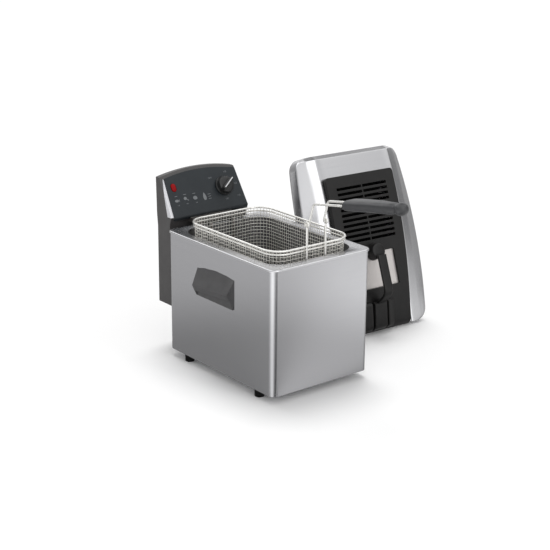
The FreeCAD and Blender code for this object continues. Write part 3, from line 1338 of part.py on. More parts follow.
housing_shell()
base_plate()
feet()
foot_screws()
side_handle("side_handle_left", -1)
side_handle("side_handle_right", 1)
handle_screws()
rear_rail()
tub_flange()
tub_wall()
tub_floor()
control_case()
rear_cover()
cover_bosses()
cover_screws()
control_panel()
indicator_lens()
side_trim("side_trim_left", -1)
side_trim("side_trim_right", 1)
knob()
knob_pointer()
thermostat_shaft()
thermostat()
thermal_cutout()
reset_button()
safety_switch()
terminal_block()
cord_gland()
element_shroud()
heating_element()
element_clamps()
thermostat_bulb()
basket_walls()
basket_rims()
basket_uprights()
handle_wires()
handle_grip()
lid_shell()
lid_liner()
lid_seal()
filter_tray()
grease_filter()
filter_cover()
view_pane()
lid_handle()
latch_tab()

doc.recompute()

faults = []
for item in doc.Objects:
    if "Invalid" in item.State or "Error" in item.State:
        faults.append(f"{item.Label}: {item.State}")
for node in nodes:
    if node.Shape.isNull() or not node.Shape.isValid():
        faults.append(f"{node.Label}: bad shape")
if faults:
    raise RuntimeError("; ".join(faults))

os.makedirs("parts", exist_ok=True)
for node in nodes:
    node.Shape.exportStep(os.path.join("parts", f"{node.Label}.step"))
    solids = node.Shape.Solids
    volume = sum(solid.Volume for solid in solids)
    print(f"{node.Label}: {len(solids)} solid(s), {volume / 1000:.2f} cm3")
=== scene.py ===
import math
from types import SimpleNamespace

import bmesh
import bpy
from mathutils import Matrix, Vector


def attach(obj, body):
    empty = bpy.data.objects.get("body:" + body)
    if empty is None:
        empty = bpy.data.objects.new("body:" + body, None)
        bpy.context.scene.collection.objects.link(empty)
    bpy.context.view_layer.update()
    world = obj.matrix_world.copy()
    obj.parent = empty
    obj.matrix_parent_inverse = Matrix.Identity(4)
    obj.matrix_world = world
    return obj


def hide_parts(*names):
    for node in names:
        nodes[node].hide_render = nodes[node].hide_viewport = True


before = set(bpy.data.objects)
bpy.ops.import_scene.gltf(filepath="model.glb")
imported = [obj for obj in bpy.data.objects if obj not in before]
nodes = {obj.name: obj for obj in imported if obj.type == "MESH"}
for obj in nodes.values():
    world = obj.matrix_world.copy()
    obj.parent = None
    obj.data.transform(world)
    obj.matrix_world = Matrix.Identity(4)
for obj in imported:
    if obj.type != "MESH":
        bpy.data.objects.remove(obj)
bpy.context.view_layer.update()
scene = bpy.context.scene
mm = 0.001  # sizes below are in millimetres
print("frame loaded,", len(nodes), "nodes")


# node helpers, and shader groups that several finishes share

def feed(node, inputs):  # a socket is linked, anything else is set as the value
    for key, value in inputs.items():
        if isinstance(value, bpy.types.NodeSocket):
            node.id_data.links.new(value, node.inputs[key])
        else:
            node.inputs[key].default_value = value


def addNode(tree, kind, inputs=None, **settings):
    node = tree.nodes.new(kind)
    for key, value in settings.items():
        setattr(node, key, value)
    feed(node, inputs or {})
    return node


def mapped(tree, value, start, end, low=0.0, high=1.0, **settings):
    return addNode(tree, "ShaderNodeMapRange", {"Value": value, "From Min": start, "From Max": end, "To Min": low,
                                                "To Max": high}, **settings).outputs["Result"]


def mixedTone(tree, factor, first, second):
    node = addNode(tree, "ShaderNodeMix", {"Factor": factor}, data_type="RGBA")
    tones = [key for key, socket in enumerate(node.inputs) if socket.type == "RGBA"]
    feed(node, dict(zip(tones, (first, second))))
    return next(socket for socket in node.outputs if socket.type == "RGBA")


def newGroup(name, inputs, outputs):
    tree = bpy.data.node_groups.new(name, "ShaderNodeTree")
    for label, kind in inputs:
        tree.interface.new_socket(label, in_out="INPUT", socket_type="NodeSocket" + kind)
    for label in outputs:
        tree.interface.new_socket(label, in_out="OUTPUT", socket_type="NodeSocketFloat")
    return tree, addNode(tree, "NodeGroupInput").outputs, addNode(tree, "NodeGroupOutput")


def brushedLinesGroup():
    tree, given, result = newGroup("brushedLines", [("Vector", "Vector"), ("Stretch", "Vector")], ["Shade", "Height"])
    stretched = addNode(tree, "ShaderNodeVectorMath", {0: given["Vector"], 1: given["Stretch"]},
                        operation="MULTIPLY").outputs[0]
    coarse = addNode(tree, "ShaderNodeTexNoise", {"Vector": stretched, "Scale": 1.0, "Detail": 4.0, "Roughness": 0.7})
    fine = addNode(tree, "ShaderNodeTexNoise", {"Vector": stretched, "Scale": 2.7, "Detail": 2.0})
    feed(result, {"Shade": mapped(tree, coarse.outputs["Fac"], 0.3, 0.7), "Height": fine.outputs["Fac"]})
    return tree


def mouldedGrainGroup():
    tree, given, result = newGroup("mouldedGrain", [("Vector", "Vector"), ("Grain", "Float")], ["Shade", "Height"])
    pebbles = addNode(tree, "ShaderNodeTexVoronoi", feature="SMOOTH_F1")
    feed(pebbles, {"Vector": given["Vector"], "Scale": given["Grain"], "Smoothness": 0.6})
    cloud = addNode(tree, "ShaderNodeTexNoise", {"Vector": given["Vector"], "Scale": 55.0, "Detail": 5.0})
    feed(result, {"Shade": mapped(tree, cloud.outputs["Fac"], 0.3, 0.7), "Height": pebbles.outputs["Distance"]})
    return tree


def handledSheenGroup():
    tree, given, result = newGroup("handledSheen", [
        ("Vector", "Vector"), ("Patch", "Float"), ("Low", "Float"), ("High", "Float")], ["Roughness"])
    patches = addNode(tree, "ShaderNodeTexNoise", {
        "Vector": given["Vector"], "Scale": given["Patch"], "Detail": 6.0, "Roughness": 0.62})
    feed(result, {"Roughness": mapped(tree, patches.outputs["Fac"], 0.32, 0.68, given["Low"], given["High"])})
    return tree


brushedLines = brushedLinesGroup()
mouldedGrain = mouldedGrainGroup()
handledSheen = handledSheenGroup()


def makeFinish(name, dark, light, rough, grain, metal=0.0, turn=(0, 0, 0), patch=14.0, bump=0.15,
               bumpDepth=0.0001, coat=0.0, gleam=0.5):
    finish = bpy.data.materials.new(name)
    finish.use_nodes = True
    tree = finish.node_tree
    light = light if isinstance(light, tuple) else [tone + light for tone in dark]
    place = addNode(tree, "ShaderNodeTexCoord").outputs["Object"]
    turned = addNode(tree, "ShaderNodeMapping", {"Vector": place, "Rotation": turn}).outputs["Vector"]
    brushed = isinstance(grain, tuple)  # three stretches make brushed lines, one number a moulded grain
    pattern = addNode(tree, "ShaderNodeGroup", {"Vector": turned, "Stretch" if brushed else "Grain": grain},
                      node_tree=brushedLines if brushed else mouldedGrain).outputs
    sheen = addNode(tree, "ShaderNodeGroup", {"Vector": turned, "Patch": patch, "Low": rough[0], "High": rough[1]},
                    node_tree=handledSheen).outputs
    relief = addNode(tree, "ShaderNodeBump", {"Strength": bump, "Distance": bumpDepth, "Height": pattern["Height"]})
    feed(tree.nodes["Principled BSDF"], {
        "Base Color": mixedTone(tree, pattern["Shade"], (*dark, 1), (*light, 1)), "Roughness": sheen["Roughness"],
        "Normal": relief.outputs["Normal"], "Metallic": metal, "Coat Weight": coat, "Specular IOR Level": gleam})
    return finish


lidStand = {"x": 272.6, "y": 15.6, "turn": -2.55, "lean": 20.78}  # where the lid stands and how it leans
lidTurn = math.radians(lidStand["turn"])
lidLean = math.radians(lidStand["lean"])
lidAcross = Vector((math.cos(lidTurn), math.sin(lidTurn), 0))
lidBack = Vector((-math.sin(lidTurn), math.cos(lidTurn), 0))
lidUp = lidBack * math.sin(lidLean) + Vector((0, 0, math.cos(lidLean)))
lidOut = -lidBack * math.cos(lidLean) + Vector((0, 0, math.sin(lidLean)))

steelLines = (6, 6, 1500)
# dark tone, light tone or the step up to it, range of roughness, grain, metal, then what differs from the usual
finishes = {
    "body_steel": makeFinish("brushedBodySteel", (0.545, 0.545, 0.562), 0.03, (0.22, 0.26), steelLines, 1.0, bump=0.04),
    "lid_steel": makeFinish(
        "brushedLidSteel", (0.585, 0.585, 0.600), 0.03, (0.19, 0.23), steelLines, 1.0, turn=(lidLean, 0, 0), bump=0.04),
    "tub_steel": makeFinish("tubSteel", (0.22, 0.22, 0.23), 0.08, (0.30, 0.42), (6, 6, 700), 1.0, bump=0.08),
    "flange_steel": makeFinish("flangeSteel", (0.60, 0.60, 0.615), 0.04, (0.25, 0.30), (1300, 6, 60), 1.0, bump=0.03),
    "wire_chrome": makeFinish("chromedWire", (0.84, 0.83, 0.80), 0.09, (0.20, 0.30), 1500, 0.65, patch=60, bump=0.05),
    "net_steel": makeFinish("tinnedNet", (0.84, 0.82, 0.77), 0.11, (0.32, 0.44), 2500, 0.5, patch=90, bump=0.06),
    "case_plastic": makeFinish("casePlastic", (0.044, 0.041, 0.041), 0.012, (0.36, 0.44), 1300, bump=0.22, gleam=0.7),
    "side_handle_plastic": makeFinish("sideHandlePlastic", (0.056, 0.055, 0.057), 0.016, (0.42, 0.52), 1200, bump=0.30),
    "cover_plastic": makeFinish(
        "coverPlastic", (0.009, 0.0086, 0.0086), (0.013, 0.0125, 0.0122), (0.38, 0.48), 1400, bump=0.22, gleam=0.3),
    "grip_plastic": makeFinish("gripPlastic", (0.034, 0.035, 0.038), 0.012, (0.36, 0.46), 1100, bump=0.30),
    "panel_plastic": makeFinish(
        "panelPlastic", (0.016, 0.0205, 0.0245), (0.021, 0.026, 0.030), (0.34, 0.42), 1800, bump=0.12, gleam=0.3),
    "trim_silver": makeFinish("silverTrim", (0.64, 0.64, 0.67), 0.08, (0.30, 0.38), (40, 40, 1200), 0.35, bump=0.05),
    "lamp_red": makeFinish(
        "redLampLens", (0.24, 0.0005, 0.001), (0.36, 0.001, 0.003), (0.24, 0.34), 700, bump=0.4, bumpDepth=0.0003,
        coat=0.06, gleam=0.12),
    "knob_plastic": makeFinish("knobPlastic", (0.010, 0.0105, 0.011), 0.007, (0.28, 0.38), 1300, bump=0.18, gleam=0.4),
    "pointer_white": makeFinish("pointerWhite", (0.70, 0.71, 0.72), 0.1, (0.40, 0.50), 1500, bump=0.10),
    "panel_print": makeFinish("panelPrint", (0.15, 0.16, 0.17), 0.07, (0.50, 0.60), 2000, bump=0.05),
    "foot_rubber": makeFinish("footRubber", (0.0015, 0.0015, 0.0015), 0.0015, (0.60, 0.72), 900, bump=0.30, gleam=0.2),
    "seal_rubber": makeFinish("sealRubber", (0.020, 0.020, 0.020), 0.01, (0.55, 0.68), 900, bump=0.25),
    "zinc_steel": makeFinish("zincSteel", (0.50, 0.51, 0.53), 0.12, (0.30, 0.46), 400, 1.0, patch=40, bump=0.08),
    "element_steel": makeFinish(
        "elementSteel", (0.20, 0.19, 0.18), (0.32, 0.30, 0.28), (0.36, 0.52), 600, 1.0, patch=30),
    "liner_aluminium": makeFinish("linerAluminium", (0.62, 0.62, 0.63), 0.1, (0.34, 0.44), (600, 8, 8), 1.0, bump=0.06),
    "pane_tint": makeFinish("paneTint", (0.66, 0.625, 0.605), 0.04, (0.26, 0.32), 1300, 0.45, bump=0.04, gleam=0.4),
    "filter_felt": makeFinish(
        "filterFelt", (0.004, 0.004, 0.004), (0.008, 0.0075, 0.007), (0.85, 0.95), 500, bump=0.8, bumpDepth=0.0008,
        gleam=0.1),
    "button_red": makeFinish("resetRed", (0.40, 0.02, 0.02), (0.52, 0.03, 0.03), (0.36, 0.46), 1500),
    "terminal_ivory": makeFinish("terminalIvory", (0.60, 0.57, 0.48), 0.1, (0.45, 0.55), 1200),
}
slotOfNode = {}
for name, node in nodes.items():
    slotName = node.material_slots[0].material.name.split(".")[0]
    slotOfNode[name] = slotName
    for slot in node.material_slots:
        slot.material = finishes[slotName]
print("finishes made,", len(finishes))


# mesh helpers

def meshFrom(work, name, smoothAngle=35):
    mesh = bpy.data.meshes.new(name)
    for face in work.faces:
        face.smooth = True
    work.to_mesh(mesh)
    work.free()
    mesh.set_sharp_from_angle(angle=math.radians(smoothAngle))
    return mesh


def addTo(work, mesh):
    work.from_mesh(mesh)
    bpy.data.meshes.remove(mesh)


def addObject(name, data):
    added = bpy.data.objects.new(name, data)
    scene.collection.objects.link(added)
    return added


def evaluatedMesh(maker):
    seen = bpy.context.evaluated_depsgraph_get()
    seen.update()
    return bpy.data.meshes.new_from_object(maker.evaluated_get(seen))


def seat(name, shape, body, slot, standsFor=(), smooth=35, finish=None, place=None):
    mesh = shape if isinstance(shape, bpy.types.Mesh) else meshFrom(shape, name, smooth)
    if place is not None:
        mesh.transform(place)
    mesh.materials.clear()
    mesh.materials.append(finish or finishes[slot])
    piece = addObject(name, mesh)
    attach(piece, body)
    if standsFor:
        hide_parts(*standsFor)
    return piece


def softenEdges(piece, width, segments, angle):
    soft = piece.modifiers.new("softEdges", "BEVEL")
    soft.width = width * mm
    soft.segments = segments
    soft.limit_method = "ANGLE"
    soft.angle_limit = math.radians(angle)
    soft.use_clamp_overlap = True
    soft.harden_normals = True


def wallOf(piece, thickness, even):
    wall = piece.modifiers.new("wall", "SOLIDIFY")
    wall.thickness = thickness * mm
    wall.offset = -1
    wall.use_even_offset = even


copying = {"joinGap": 0.01, "flatAngle": 1, "softSegments": 3, "softAngle": 30, "weldGap": 0.004}


def roundedCopy(nodeName, pieceName, body, width):
    mesh = nodes[nodeName].data.copy()
    if "custom_normal" in mesh.attributes:
        mesh.attributes.remove(mesh.attributes["custom_normal"])
    work = bmesh.new()
    addTo(work, mesh)
    bmesh.ops.remove_doubles(work, verts=work.verts, dist=copying["joinGap"] * mm)
    bmesh.ops.dissolve_limit(work, angle_limit=math.radians(copying["flatAngle"]), verts=work.verts, edges=work.edges)
    piece = seat(pieceName, work, body, slotOfNode[nodeName], (nodeName,))
    softenEdges(piece, width, copying["softSegments"], copying["softAngle"])
    joined = piece.modifiers.new("joined", "WELD")  # closes bevels that came out with no width
    joined.merge_threshold = copying["weldGap"] * mm
    return piece


def cleanShell(work, towards):  # no loose points, and faces that look outward
    bmesh.ops.delete(work, geom=[vert for vert in work.verts if not vert.link_faces], context="VERTS")
    bmesh.ops.recalc_face_normals(work, faces=work.faces)
    work.normal_update()
    if sum(face.normal.dot(towards) * face.calc_area() for face in work.faces) < 0:
        bmesh.ops.reverse_faces(work, faces=work.faces)


def sweepRings(rings, closed=False):
    work = bmesh.new()
    loops = [[work.verts.new(point) for point in ring] for ring in rings]
    count = len(loops[0])
    for lower, upper in list(zip(loops, loops[1:])) + ([(loops[-1], loops[0])] if closed else []):
        for step in range(count):
            after = (step + 1) % count
            work.faces.new((lower[step], lower[after], upper[after], upper[step]))
    if not closed:
        work.faces.new(list(reversed(loops[0])))
        work.faces.new(loops[-1])
    bmesh.ops.recalc_face_normals(work, faces=work.faces)
    return work


def ovalRing(halfWidth, halfHeight, power, count):
    ring = []
    for step in range(count):
        angle = 2 * math.pi * step / count
        across = math.copysign(abs(math.cos(angle)) ** (2 / power), math.cos(angle))
        along = math.copysign(abs(math.sin(angle)) ** (2 / power), math.sin(angle))
        ring.append((halfWidth * across, halfHeight * along))
    return ring


def clamped(share):
    return max(0.0, min(1.0, share))


def eased(share):
    return share * share * (3 - 2 * share)


def blend(low, high, share):
    return low + (high - low) * share


def between(pairs, at):
    for (low, lowValue), (high, highValue) in zip(pairs, pairs[1:]):
        if at <= high:
            return blend(lowValue, highValue, eased((at - low) / (high - low)))
    return pairs[-1][1]


# feet and the plain parts of the control unit keep their solids' shapes, with rounded edges

edgeRounds = {
    "feet": ("rubberFeet", "housing", 1.6),
    "control_case": ("controlCase", "control_unit", 3.6),
    "rear_cover": ("rearCover", "control_unit", 0.9),
    "element_shroud": ("elementShroud", "control_unit", 0.6),
    "cord_gland": ("cordGland", "control_unit", 0.8),
}
for nodeName, (pieceName, body, width) in edgeRounds.items():
    roundedCopy(nodeName, pieceName, body, width)
print("rounded pieces made,", len(edgeRounds))


# carrying handles: an arched roof with a lip, hollow below, closed by cheeks

sideHandle = {"wall": 105, "front": -45.5, "rear": (60, 53), "reach": 18, "endReach": 16.4, "endRun": 0.07, "plate": 4,
              "roof": 5, "lipWall": 3.5, "lipHeight": 11, "lipLean": 6, "lipInside": 3, "bottom": 139,
              "smooth": 30, "soft": 1.1, "softSegments": 3, "softAngle": 32,
              "cheek": (0, 0.012, 0.025, 0.04), "cheekGap": 0.0005, "steps": 28, "fill": (0.25, 0.5, 0.75),
              "top": [(-46, 190.6), (-20, 193.2), (6, 194), (34, 191.4), (61, 186.8)],
              "lip": [(-46, 167.5), (-18, 165.5), (10, 163.5), (61, 160)]}


def handleSection(share, hollow):
    shape = SimpleNamespace(**sideHandle)
    deepEnd = min(1, min(share, 1 - share) / shape.endRun)
    reach = blend(shape.endReach, shape.reach, math.sqrt(1 - (1 - deepEnd) ** 2))

    def along(deep):
        return blend(shape.front, blend(*shape.rear, deep / shape.reach), share)

    top, lip = between(shape.top, along(0)), between(shape.lip, along(reach))
    under, inner = lip - shape.lipHeight, reach - shape.lipWall
    toe, heel = Vector((reach - shape.lipLean, under)), Vector((shape.plate, shape.bottom))
    if hollow:
        ceiling = top - shape.roof - (top - lip) * shape.plate / reach
        cup = [Vector((inner - shape.lipLean, under)), Vector((inner, lip - shape.lipInside)),
               Vector((shape.plate, ceiling))]
    else:
        cup = [toe.lerp(heel, part) for part in shape.fill]
    outline = [Vector((0, top)), Vector((reach, lip)), toe, *cup, heel, Vector((0, shape.bottom))]
    return [(point.x, along(point.x), point.y) for point in outline]


def makeSideHandle(side, pieceName, nodeName):
    shape = SimpleNamespace(**sideHandle)
    cheek, steps = shape.cheek[-1], shape.steps
    inside = [cheek + (1 - 2 * cheek) * step / steps for step in range(1, steps)]
    inside = [cheek + shape.cheekGap, *inside, 1 - cheek - shape.cheekGap]
    sections = [handleSection(share, False) for share in shape.cheek]
    sections += [handleSection(share, True) for share in inside]
    sections += [handleSection(1 - share, False) for share in reversed(shape.cheek)]
    rings = [[Vector((side * (shape.wall + deep), along, up)) * mm for deep, along, up in section]
             for section in sections]
    piece = seat(pieceName, sweepRings(rings), "housing", "side_handle_plastic", (nodeName,), shape.smooth)
    softenEdges(piece, shape.soft, shape.softSegments, shape.softAngle)
    piece.visible_glossy = False  # the brushed wall is too dull to mirror it


makeSideHandle(-1, "sideHandleLeft", "side_handle_left")
makeSideHandle(1, "sideHandleRight", "side_handle_right")
print("carrying handles made")


# flat edge of the tub with its rolled rim

tubFlange = {"half": (107, 151.15), "corner": 14, "opening": (90, 134), "openingCorner": 38, "top": 233.8, "roll": 2.4,
             "rollSteps": 8, "flat": 1, "drop": 3.5, "lip": 1.6, "thickness": 1.15, "innerRound": 0.9,
             "innerKnee": 0.27, "cornerSteps": 14, "smooth": 35}


def roundedRectangle(half, corner, grow):
    points, steps = [], tubFlange["cornerSteps"]
    for signX, signY, first in ((1, 1, 0), (-1, 1, 90), (-1, -1, 180), (1, -1, 270)):
        for step in range(steps + 1):
            angle = math.radians(first + 90 * step / steps)
            points.append((signX * (half[0] - corner) + (corner + grow) * math.cos(angle),
                           signY * (half[1] - corner) + (corner + grow) * math.sin(angle)))
    return points


def makeTubFlange():
    rim = SimpleNamespace(**tubFlange)
    top, roll, soft, knee = rim.top, rim.roll, rim.innerRound, rim.innerKnee
    outer = [(rim.lip, top - rim.drop), (0, top - rim.drop)]
    for step in range(rim.rollSteps + 1):
        angle = math.radians(90 * step / rim.rollSteps)
        outer.append((roll * (1 - math.cos(angle)), top - roll + roll * math.sin(angle)))
    outer.append((roll + rim.flat, top))
    inner = [(soft, top), (knee, top - knee), (0, top - soft), (0, top - rim.thickness)]
    loops = [(roundedRectangle(rim.half, rim.corner, -inset), up) for inset, up in outer]
    loops += [(roundedRectangle(rim.opening, rim.openingCorner, offset), up) for offset, up in inner]
    loops.append((loops[0][0], top - rim.thickness))
    rings = [[Vector((*loop[station], up)) * mm for loop, up in loops] for station in range(len(loops[0][0]))]
    seat("tubFlange", sweepRings(rings, closed=True), "tub", "tub_steel", ("tub_flange",), rim.smooth,
         finishes["flange_steel"])


makeTubFlange()
print("tub edge made")


# wire basket, woven round its uprights

basketNet = {"halfWidth": 81.5, "front": -123.5, "rear": 119.5, "corner": 29.2, "bottom": 127.6, "top": 252.6,
             "pitch": 6.0, "wire": 0.5, "weave": 0.35, "floorLift": 0.6, "sides": 5, "cornerSteps": 8}


def wireBasketTree():
    tree = bpy.data.node_groups.new("wireBasket", "GeometryNodeTree")

    def addSocket(label, kind, way="INPUT"):
        tree.interface.new_socket(label, in_out=way, socket_type="NodeSocket" + kind)

    addSocket("Geometry", "Geometry")
    for label in ("Half Width", "Half Length", "Corner", "Height", "Pitch", "Wire", "Weave", "Floor Lift"):
        addSocket(label, "Float")
    for label in ("Uprights", "Pairs", "Floor Across", "Floor Along", "Sides", "Corner Steps"):
        addSocket(label, "Int")
    addSocket("Material", "Material")
    addSocket("Geometry", "Geometry", "OUTPUT")
    given = addNode(tree, "NodeGroupInput").outputs

    def made(kind, inputs=None, **settings):
        return addNode(tree, kind, inputs, **settings).outputs[0]

    def math2(operation, first, second=0.0):
        return made("ShaderNodeMath", {0: first, 1: second}, operation=operation)

    def times(first, second):
        return math2("MULTIPLY", first, second)

    def minus(first, second):
        return math2("SUBTRACT", first, second)

    def vector3(x, y, z):
        return made("ShaderNodeCombineXYZ", {0: x, 1: y, 2: z})

    def tubeAlong(curve):
        profile = made("GeometryNodeCurvePrimitiveCircle", {"Resolution": given["Sides"], "Radius": given["Wire"]})
        return made("GeometryNodeCurveToMesh", {"Curve": curve, "Profile Curve": profile, "Fill Caps": True})

    def repeatOn(points, item, scale=(1, 1, 1)):
        many = made("GeometryNodeInstanceOnPoints", {"Points": points, "Instance": item, "Scale": scale})
        return made("GeometryNodeRealizeInstances", {"Geometry": many})

    def row(count, start, step):
        return made("GeometryNodeMeshLine", {"Count": count, "Start Location": start, "Offset": step}, mode="OFFSET")

    outline = made("GeometryNodeCurvePrimitiveQuadrilateral", {
        "Width": times(given["Half Width"], 2.0), "Height": times(given["Half Length"], 2.0)})
    ring = made("GeometryNodeFilletCurve", {"Curve": outline, "Radius": given["Corner"],
                                            "Count": given["Corner Steps"]}, mode="POLY")
    pieces = []
    for side in (1, -1):  # rings pass in front of and behind the uprights by turns
        dense = made("GeometryNodeResampleCurve", {"Curve": ring, "Count": times(given["Uprights"], 2)})
        wave = math2("COSINE", times(made("GeometryNodeInputIndex"), math.pi / 2))
        reach = times(times(wave, given["Weave"]), side)
        sideways = made("ShaderNodeVectorMath", {0: made("GeometryNodeInputTangent"), 1: (0, 0, 1)},
                        operation="CROSS_PRODUCT")
        shift = made("ShaderNodeVectorMath", {0: sideways, "Scale": reach}, operation="SCALE")
        woven = made("GeometryNodeSetPosition", {"Geometry": dense, "Offset": shift})
        first = times(given["Pitch"], 1.0 if side == 1 else 2.0)
        levels = row(given["Pairs"], vector3(0, 0, first), vector3(0, 0, times(given["Pitch"], 2.0)))
        pieces.append(tubeAlong(repeatOn(levels, woven)))

    stations = made("GeometryNodeResampleCurve", {"Curve": ring, "Count": given["Uprights"]})
    upright = made("GeometryNodeCurvePrimitiveLine", {"End": vector3(0, 0, given["Height"])})
    pieces.append(tubeAlong(repeatOn(stations, upright)))

    # floor wires, shortened where they meet the rounded corners
    for across, halfSpan, halfRun, count, lift in (
            (True, "Half Width", "Half Length", "Floor Across", 0.0),
            (False, "Half Length", "Half Width", "Floor Along", given["Floor Lift"])):
        step = math2("DIVIDE", times(given[halfSpan], 2.0), minus(given[count], 1))
        start = times(given[halfSpan], -1.0)
        points = row(given[count], vector3(start, 0, lift) if across else vector3(0, start, lift),
                     vector3(step, 0, 0) if across else vector3(0, step, 0))
        split = addNode(tree, "ShaderNodeSeparateXYZ", {0: made("GeometryNodeInputPosition")}).outputs
        offset = math2("ABSOLUTE", split["X" if across else "Y"])
        past = math2("MAXIMUM", minus(offset, minus(given[halfSpan], given["Corner"])), 0.0)
        bend = math2("SQRT", math2("MAXIMUM", minus(times(given["Corner"], given["Corner"]), times(past, past)), 0.0))
        run = math2("ADD", minus(given[halfRun], given["Corner"]), bend)
        wire = made("GeometryNodeCurvePrimitiveLine", {"Start": (0, -1, 0) if across else (-1, 0, 0),
                                                       "End": (0, 1, 0) if across else (1, 0, 0)})
        pieces.append(tubeAlong(repeatOn(points, wire, vector3(1, run, 1) if across else vector3(run, 1, 1))))

    together = addNode(tree, "GeometryNodeJoinGeometry")
    for piece in pieces:
        tree.links.new(piece, together.inputs[0])
    smooth = made("GeometryNodeSetShadeSmooth", {"Geometry": together.outputs[0]})
    real = made("GeometryNodeRealizeInstances", {"Geometry": smooth})
    dressed = made("GeometryNodeSetMaterial", {"Geometry": real, "Material": given["Material"]})
    addNode(tree, "NodeGroupOutput", {0: dressed})
    return tree


def meshFromTree(tree, values, name):
    holder = addObject(name + "Maker", bpy.data.meshes.new(name + "Maker"))
    maker = holder.modifiers.new(name, "NODES")
    maker.node_group = tree
    for item in tree.interface.items_tree:
        if item.item_type == "SOCKET" and item.in_out == "INPUT" and item.name in values:
            maker[item.identifier] = values[item.name]
    mesh = evaluatedMesh(holder)
    mesh.name = name
    holder.modifiers.remove(maker)
    bpy.data.objects.remove(holder)
    return mesh


def makeBasketNet():
    net = SimpleNamespace(**basketNet)
    halfLength = (net.rear - net.front) / 2
    around = 4 * (net.halfWidth + halfLength - 2 * net.corner) + 2 * math.pi * net.corner
    height = net.top - net.bottom
    mesh = meshFromTree(wireBasketTree(), {
        "Half Width": net.halfWidth * mm, "Half Length": halfLength * mm, "Corner": net.corner * mm,
        "Height": height * mm, "Pitch": net.pitch * mm, "Wire": net.wire * mm, "Weave": net.weave * mm,
        "Floor Lift": net.floorLift * mm,
        "Uprights": 2 * round(around / net.pitch / 2), "Pairs": int(height / net.pitch / 2),
        "Floor Across": round(2 * net.halfWidth / net.pitch) + 1,
        "Floor Along": round(2 * halfLength / net.pitch) + 1,
        "Sides": net.sides, "Corner Steps": net.cornerSteps,
        "Material": finishes["net_steel"]}, "basketNet")
    place = Matrix.Translation((0, (net.front + net.rear) / 2 * mm, net.bottom * mm))
    return seat("basketNet", mesh, "basket", "net_steel", (
        "basket_front_net", "basket_rear_net", "basket_left_net", "basket_right_net",
        "basket_corner_nets", "basket_floor_net"), place=place)


basketPiece = makeBasketNet()
print("basket net woven,", len(basketPiece.data.polygons), "faces")


# folding grip of the basket handle

gripShape = {"root": (0, -212.17, 340.5), "slope": 9.78, "length": 128, "sides": 32, "power": 3.0, "smooth": 50,
             "width": [(0, 36.6), (0.03, 39.2), (0.14, 40), (0.50, 36), (0.76, 28), (0.85, 19.6), (0.88, 19.6)],
             "height": [(0, 16.4), (0.03, 17.6), (0.14, 18), (0.50, 18), (0.76, 18), (0.85, 14.6), (0.88, 14.6)],
             "sink": [(0, 0), (0.45, 0.2), (0.76, 1.8), (0.85, 2.3), (1, 2.3)],
             "endCuts": [0, 0.006, 0.015, 0.03, 0.05, 0.08, 0.80, 0.82, 0.835, 0.85],
             "firstCut": 0.11, "cutPitch": 0.035, "cutCount": 20,
             "ballWidth": 11.8, "ballHeight": 10.2, "ballAt": 0.915, "ballReach": 0.99, "ballPower": 2.2,
             "ballFrom": 130, "ballTurn": 125, "ballSteps": 12}


def makeGrip():
    shape = SimpleNamespace(**gripShape)
    slope = math.radians(shape.slope)
    along = Vector((0, -math.cos(slope), math.sin(slope)))
    up = Vector((0, math.sin(slope), math.cos(slope)))
    cuts = shape.endCuts + [shape.firstCut + shape.cutPitch * step for step in range(shape.cutCount)]
    sections = [(share, between(shape.width, share) / 2, between(shape.height, share) / 2, shape.power)
                for share in cuts]
    reach = 1 - shape.ballAt
    for step in range(shape.ballSteps + 1):
        turn = math.radians(shape.ballFrom - shape.ballTurn * step / shape.ballSteps)
        sections.append((shape.ballAt + reach * math.cos(turn) * shape.ballReach,
                         shape.ballWidth * math.sin(turn), shape.ballHeight * math.sin(turn), shape.ballPower))
    rings = []
    for share, width, height, power in sorted(sections):
        centre = Vector(shape.root) + along * shape.length * share - up * between(shape.sink, share)
        rings.append([(centre + Vector((1, 0, 0)) * across + up * rise) * mm
                      for across, rise in ovalRing(width, height, power, shape.sides)])
    seat("handleGrip", sweepRings(rings), "basket_handle", "grip_plastic", ("handle_grip",), shape.smooth)


makeGrip()
print("grip made")


# control panel: knob with a ridge, lamp lens and printed marks

panelPlace = Matrix(((1, 0, 0, 0), (0, 0.51230, -0.85880, 166.15 * mm), (0, 0.85880, 0.51230, 247.0 * mm),
                     (0, 0, 0, 1)))  # x across, y up the panel, z out of it
panelShape = {"soft": 0.6, "reachFrom": 75.5, "reachBy": 5.0,  # its right edge covers the ledge of the case
              "rollRadius": 6, "rollAt": 0.8, "rollFrom": -79.4, "rollTo": 84.2, "rollSides": 40,
              "rollSmooth": 30,  # rolled lower edge: share of its length and of its radius
              "roll": [(0, 0.8), (0.004, 0.93), (0.012, 1), (0.5, 1), (0.988, 1), (0.996, 0.93), (1, 0.8)]}


def makePanel():
    shape = SimpleNamespace(**panelShape)
    piece = roundedCopy("control_panel", "controlPanel", "control_unit", shape.soft)
    for vert in piece.data.vertices:
        if vert.co.x > shape.reachFrom * mm:
            vert.co.x += shape.reachBy * mm
    radius = shape.rollRadius
    rings = []
    for share, size in shape.roll:
        across = blend(shape.rollFrom, shape.rollTo, share)
        rings.append([panelPlace @ (Vector((across, shape.rollAt + along * size, -radius + out * size)) * mm)
                      for along, out in ovalRing(radius, radius, 2, shape.rollSides)])
    work = bmesh.new()
    work.from_mesh(piece.data)
    addTo(work, meshFrom(sweepRings(rings), "roll", shape.rollSmooth))
    work.to_mesh(piece.data)
    work.free()


def onPanel(shape):
    return panelPlace @ Matrix.Translation((shape.x * mm, shape.y * mm, 0)) @ Matrix.Scale(mm, 4)


